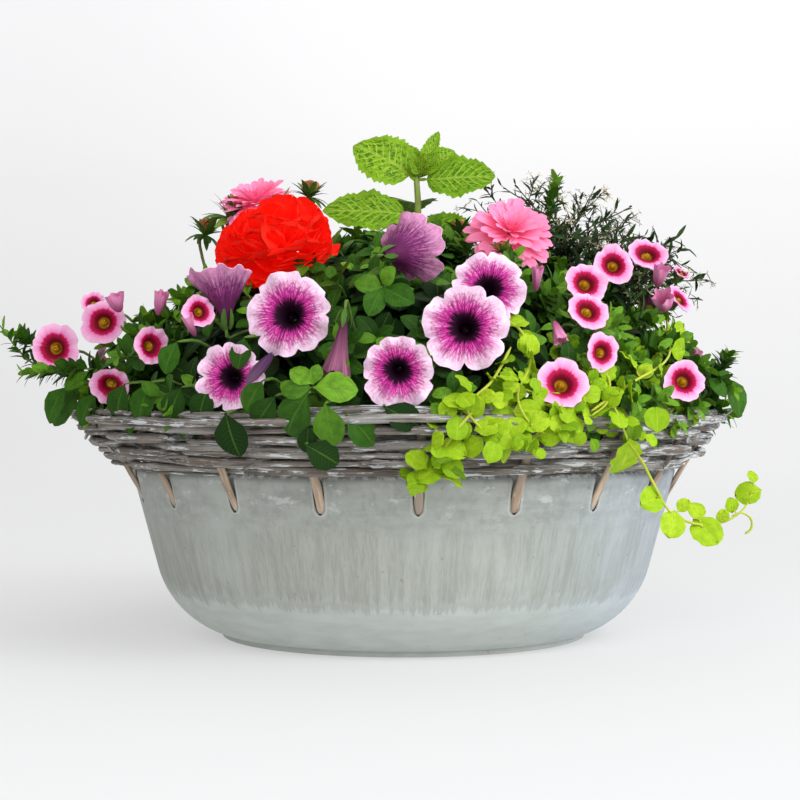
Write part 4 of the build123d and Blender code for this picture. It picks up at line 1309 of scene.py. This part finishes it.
def euphorbia():
    """An airy cloud of thin forked twigs with narrow leaves and tiny pale flowers."""
    twig = stem_material("euphorbia_twigs_bark", (0.10, 0.12, 0.04), (0.05, 0.05, 0.02))
    cream = ray_material("euphorbia_flowers", (0.62, 0.60, 0.36), (0.90, 0.84, 0.68), (0.55, 0.34, 0.22))
    rng = np.random.default_rng(820)
    leaves, stems, flowers = Batch(), Batch(), Batch()
    root = np.array([0.104, 0.058, 0.200])
    ends = [
        (54, 22, 318), (80, 40, 318), (108, 14, 320), (136, 26, 316), (160, 8, 300), (188, 20, 276),
        (212, -4, 246), (204, 62, 234), (150, 74, 292), (96, 92, 302), (58, 120, 284), (176, 110, 236),
    ]
    branches = list(mm(ends))
    for _ in range(52):
        picked = branches[rng.integers(12)]
        other = branches[rng.integers(12)]
        share = rng.uniform(0.25, 0.75)
        lower = rng.uniform(0.0, 0.07)
        branches.append(picked * share + other * (1 - share) + rng.normal(0, 0.006, 3) - UP * lower)

    def inside_cloud(point):
        top = np.interp(point[0], (0.05, 0.127, 0.174, 0.211), (0.322, 0.318, 0.290, 0.246))
        return np.minimum(point, [0.216, 0.125, top])

    for end in branches:
        end = inside_cloud(end)
        start = root + rng.uniform(-1, 1, 3) * [0.035, 0.03, 0.01]
        middle = (start + end) / 2 + np.array([0, 0, 0.018]) + rng.normal(0, 0.008, 3)
        line = curve_points([start, middle, end], 12)
        shoot(leaves, stems, rng, EUPHORBIA_LEAF, line, 15, 0.017, 0.006, thick=0.0007, start=0.30,
              splay=(70, 28), age_and_shade=(0.0, 0.7))
        for _ in range(4):
            base = line[rng.integers(4, 11)]
            tip = base + unit(end - start + rng.normal(0, 0.06, 3)) * rng.uniform(0.012, 0.030)
            tip = inside_cloud(tip)
            shoot(leaves, stems, rng, EUPHORBIA_LEAF, [base, (base + tip) / 2 + rng.normal(0, 0.002, 3), tip],
                  5, 0.011, 0.005, thick=0.00045, start=0.1, splay=(65, 25), age_and_shade=(0.0, 0.9))
            for _ in range(4):
                spot = tip + rng.normal(0, 0.0035, 3)
                tube(stems, curve_points([base + (tip - base) * 0.7, tip, spot], 5), 0.00028, 4, rng)
                rosette(flowers, SEPAL, rng, spot, unit(spot - base), [(4, 60, 0.0029, 0.0)])
    for _ in range(110):
        spot = np.array([rng.uniform(0.055, 0.200), rng.uniform(-0.03, 0.085), rng.uniform(0.225, 0.300)])
        spot = inside_cloud(spot - [0, 0, 0.012])
        base = spot + (root - spot) * 0.28
        shoot(leaves, stems, rng, EUPHORBIA_LEAF, [base, (base + spot) / 2 + UP * 0.004, spot], 9, 0.018,
              0.010, thick=0.0005, start=0.1, splay=(70, 30), age_and_shade=(0.0, 0.5))
    leaves.piece("euphorbia_leaves_fine", GREENS["euphorbia"], "euphorbia_leaf", "euphorbia_twigs",
                 "euphorbia_cloud")
    stems.piece("euphorbia_stems", twig, "euphorbia_leaf")
    flowers.piece("euphorbia_tiny_flowers", cream, "euphorbia_leaf")


def coleus():
    """The coleus in the middle: big toothed, mottled leaves on a thick stem."""
    stalk = stem_material("coleus_stalk", (0.36, 0.46, 0.10), (0.20, 0.28, 0.06))
    rng = np.random.default_rng(840)
    leaves, stems = Batch(), Batch()
    front = np.array([0.0, -1.0, 0.45])
    # base, tip, width share, where its upper side looks, and shade
    places = [
        ((8, -2, 316), (-29, -12, 347), 1.2, front, 0.85), ((9, 0, 319), (0, 4, 347), 1.0, front, 0.8),
        ((11, -2, 316), (63, -12, 319), 1.1, front + [0.1, 0, 0.3], 0.6),
        ((14, -6, 290), (40, -22, 272), 1.0, front, 0.45), ((8, -8, 288), (10, -30, 266), 1.0, front, 0.35),
        ((7, -4, 291), (-54, -22, 298), 0.72, front, 0.7), ((13, 3, 321), (38, 14, 344), 0.9, front, 0.9),
        ((12, 0, 321), (25, -2, 353), 0.5, front, 0.9), ((10, 4, 316), (18, 30, 338), 1.0, UP, 0.7),
        ((9, 5, 300), (4, 58, 312), 1.0, UP, 0.5),
        ((14, 2, 290), (56, 30, 288), 0.9, UP + front * 0.4, 0.5),
        ((12, -6, 284), (44, -36, 276), 1.0, front, 0.35), ((6, 6, 296), (-34, 40, 300), 1.0, UP, 0.5),
    ]
    for base, tip, wide, normal, tag in places:
        base, tip = mm((base, tip))
        put_leaf(leaves, COLEUS_LEAF, rng, base, tip - base, normal, np.linalg.norm(tip - base), tag, wide)
    for i in range(8):
        out = compass(i * 137.5, 1.0, 1.1)
        spot = np.array([0.012, -0.002, 0.319])
        put_leaf(leaves, COLEUS_LEAF, rng, spot, out, front - out * 0.3, rng.uniform(0.012, 0.022), 0.95)
    low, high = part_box("coleus_stem")
    foot = np.array([0.006, 0.0, low.z - 0.02])
    tube(stems, curve_points([foot, [0.010, 0, 0.290], [0.009, 0, high.z]], 12),
         np.linspace(0.0032, 0.0022, 12), 9, rng, 0.1, 0.04)
    leaves.piece("coleus_big_leaves", GREENS["coleus"], "coleus_leaf", "coleus_leaves")
    stems.piece("coleus_stalk", stalk, "coleus_stem", "coleus_stem")


# The pot, the stage and the camera -----------------------------------------------------------

def dress_pot():
    """The CAD pieces of the pot that stay in sight keep their shape and get real materials."""
    materials = {
        "bowl": clay_material(),
        "compost": soil_material("damp_compost", (0.075, 0.050, 0.034), (0.016, 0.011, 0.008), 160.0),
        "drainage_gravel": soil_material("gravel", (0.34, 0.32, 0.29), (0.12, 0.11, 0.10), 240.0),
        "drain_crocks": soil_material("broken_pot", (0.46, 0.24, 0.14), (0.32, 0.15, 0.09), 90.0),
    }
    for name, material in materials.items():
        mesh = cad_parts[name].data
        mesh.materials.clear()
        mesh.materials.append(material)


def studio():
    """A pale sweep behind the pot, soft light from all round and a larger light from the right."""
    s = Shader("studio_sweep")
    shade = s.noise(s.place(), 0.8, 2.0)
    across, back, height = s.split(s.place())
    # Painted light: the paper is made lighter up the wall and towards the back and the right
    paper = s.mix(s.ramp(height, 0.0, 1.2), (0.40, 0.40, 0.40), (0.48, 0.475, 0.48))
    lit = s.ramp(back, 0.5, 2.2) * s.ramp(across, -0.9, 0.3)
    paper = s.mix(lit, paper, s.vector("MULTIPLY", paper, (1.10, 1.10, 1.10)))
    paper = s.finish(s.mix(shade * 0.1, paper, (0.45, 0.45, 0.45)), 0.95, specular=0.0, glow=1.05)
    wall = [(1.2, 0.0), (1.9, 0.03), (2.5, 0.18), (2.95, 0.55), (3.1, 1.1), (3.1, 4.0)]
    line = np.vstack([[(0.0, y, 0.0) for y in (-12, -4, -1, 0.6)],
                      curve_points([(0.0, y, z) for y, z in wall], 34)])
    wide = np.interp(line[:, 1], (-4.0, 0.0, 2.0), (14.0, 10.0, 5.0))
    rows = [line + np.outer(side * wide, [1.0, 0.0, 0.0]) for side in (-1, 0, 1)]
    mesh = bpy.data.meshes.new("sweep")
    faces = grid_faces(2, len(line) - 1).tolist()
    mesh.from_pydata(np.concatenate(rows).tolist(), [], faces)
    mesh.polygons.foreach_set("use_smooth", np.ones(len(faces), bool))
    mesh.materials.append(paper)
    sweep = bpy.data.objects.new("sweep", mesh)
    scene.collection.objects.link(sweep)
    scene.world = bpy.data.worlds.new("studio")
    scene.world.use_nodes = True
    tree = scene.world.node_tree
    sky = tree.nodes["Background"]
    place = tree.nodes.new("ShaderNodeTexCoord")
    split = tree.nodes.new("ShaderNodeSeparateXYZ")
    side = tree.nodes.new("ShaderNodeMapRange")
    side.interpolation_type = "SMOOTHSTEP"
    for socket, value in zip(side.inputs[1:5], (-0.9, 0.9, 0.42, 1.05)):
        socket.default_value = value
    tree.links.new(place.outputs["Generated"], split.inputs[0])
    tree.links.new(split.outputs[0], side.inputs[0])
    tree.links.new(side.outputs[0], sky.inputs["Strength"])
    sky.inputs["Color"].default_value = (0.985, 0.99, 1.0, 1.0)
    # name, place, size, power and colour of each lamp
    lamps = [("key", (1.7, -1.3, 1.3), 1.6, 36.0, (0.93, 0.97, 1.0)),
             ("front", (-0.2, -2.4, 1.6), 1.8, 22.0, (1.0, 1.0, 1.0))]
    for name, place, size, power, colour in lamps:
        lamp = bpy.data.lights.new(name, "AREA")
        lamp.shape = "DISK"
        lamp.size = size
        lamp.energy = power
        lamp.color = colour
        holder = bpy.data.objects.new(name, lamp)
        holder.location = place
        holder.rotation_euler = (Vector((0, 0, 0.17)) - Vector(place)).to_track_quat("-Z", "Y").to_euler()
        scene.collection.objects.link(holder)
    scene.view_settings.view_transform = "Standard"


def camera():
    """A long lens straight in front of the pot, at the height of the rim, looking a little down."""
    lens = bpy.data.cameras.new("camera")
    lens.lens = 87.17
    lens.sensor_width = 36.0
    holder = bpy.data.objects.new("camera", lens)
    holder.location = (-0.00245, -1.356, 0.177)
    holder.rotation_euler = (math.radians(90 - 0.62), 0.0, 0.0)
    scene.collection.objects.link(holder)
    scene.camera = holder


dress_pot()
stakes()
collar()
petunias()
faded_flowers()
calibrachoas()
calibrachoa_buds()
begonia()
dahlias()
under_layer()
main_foliage()
hand_leaves()
creeping_jenny()
calibrachoa_shoots()
euphorbia()
coleus()
studio()
camera()
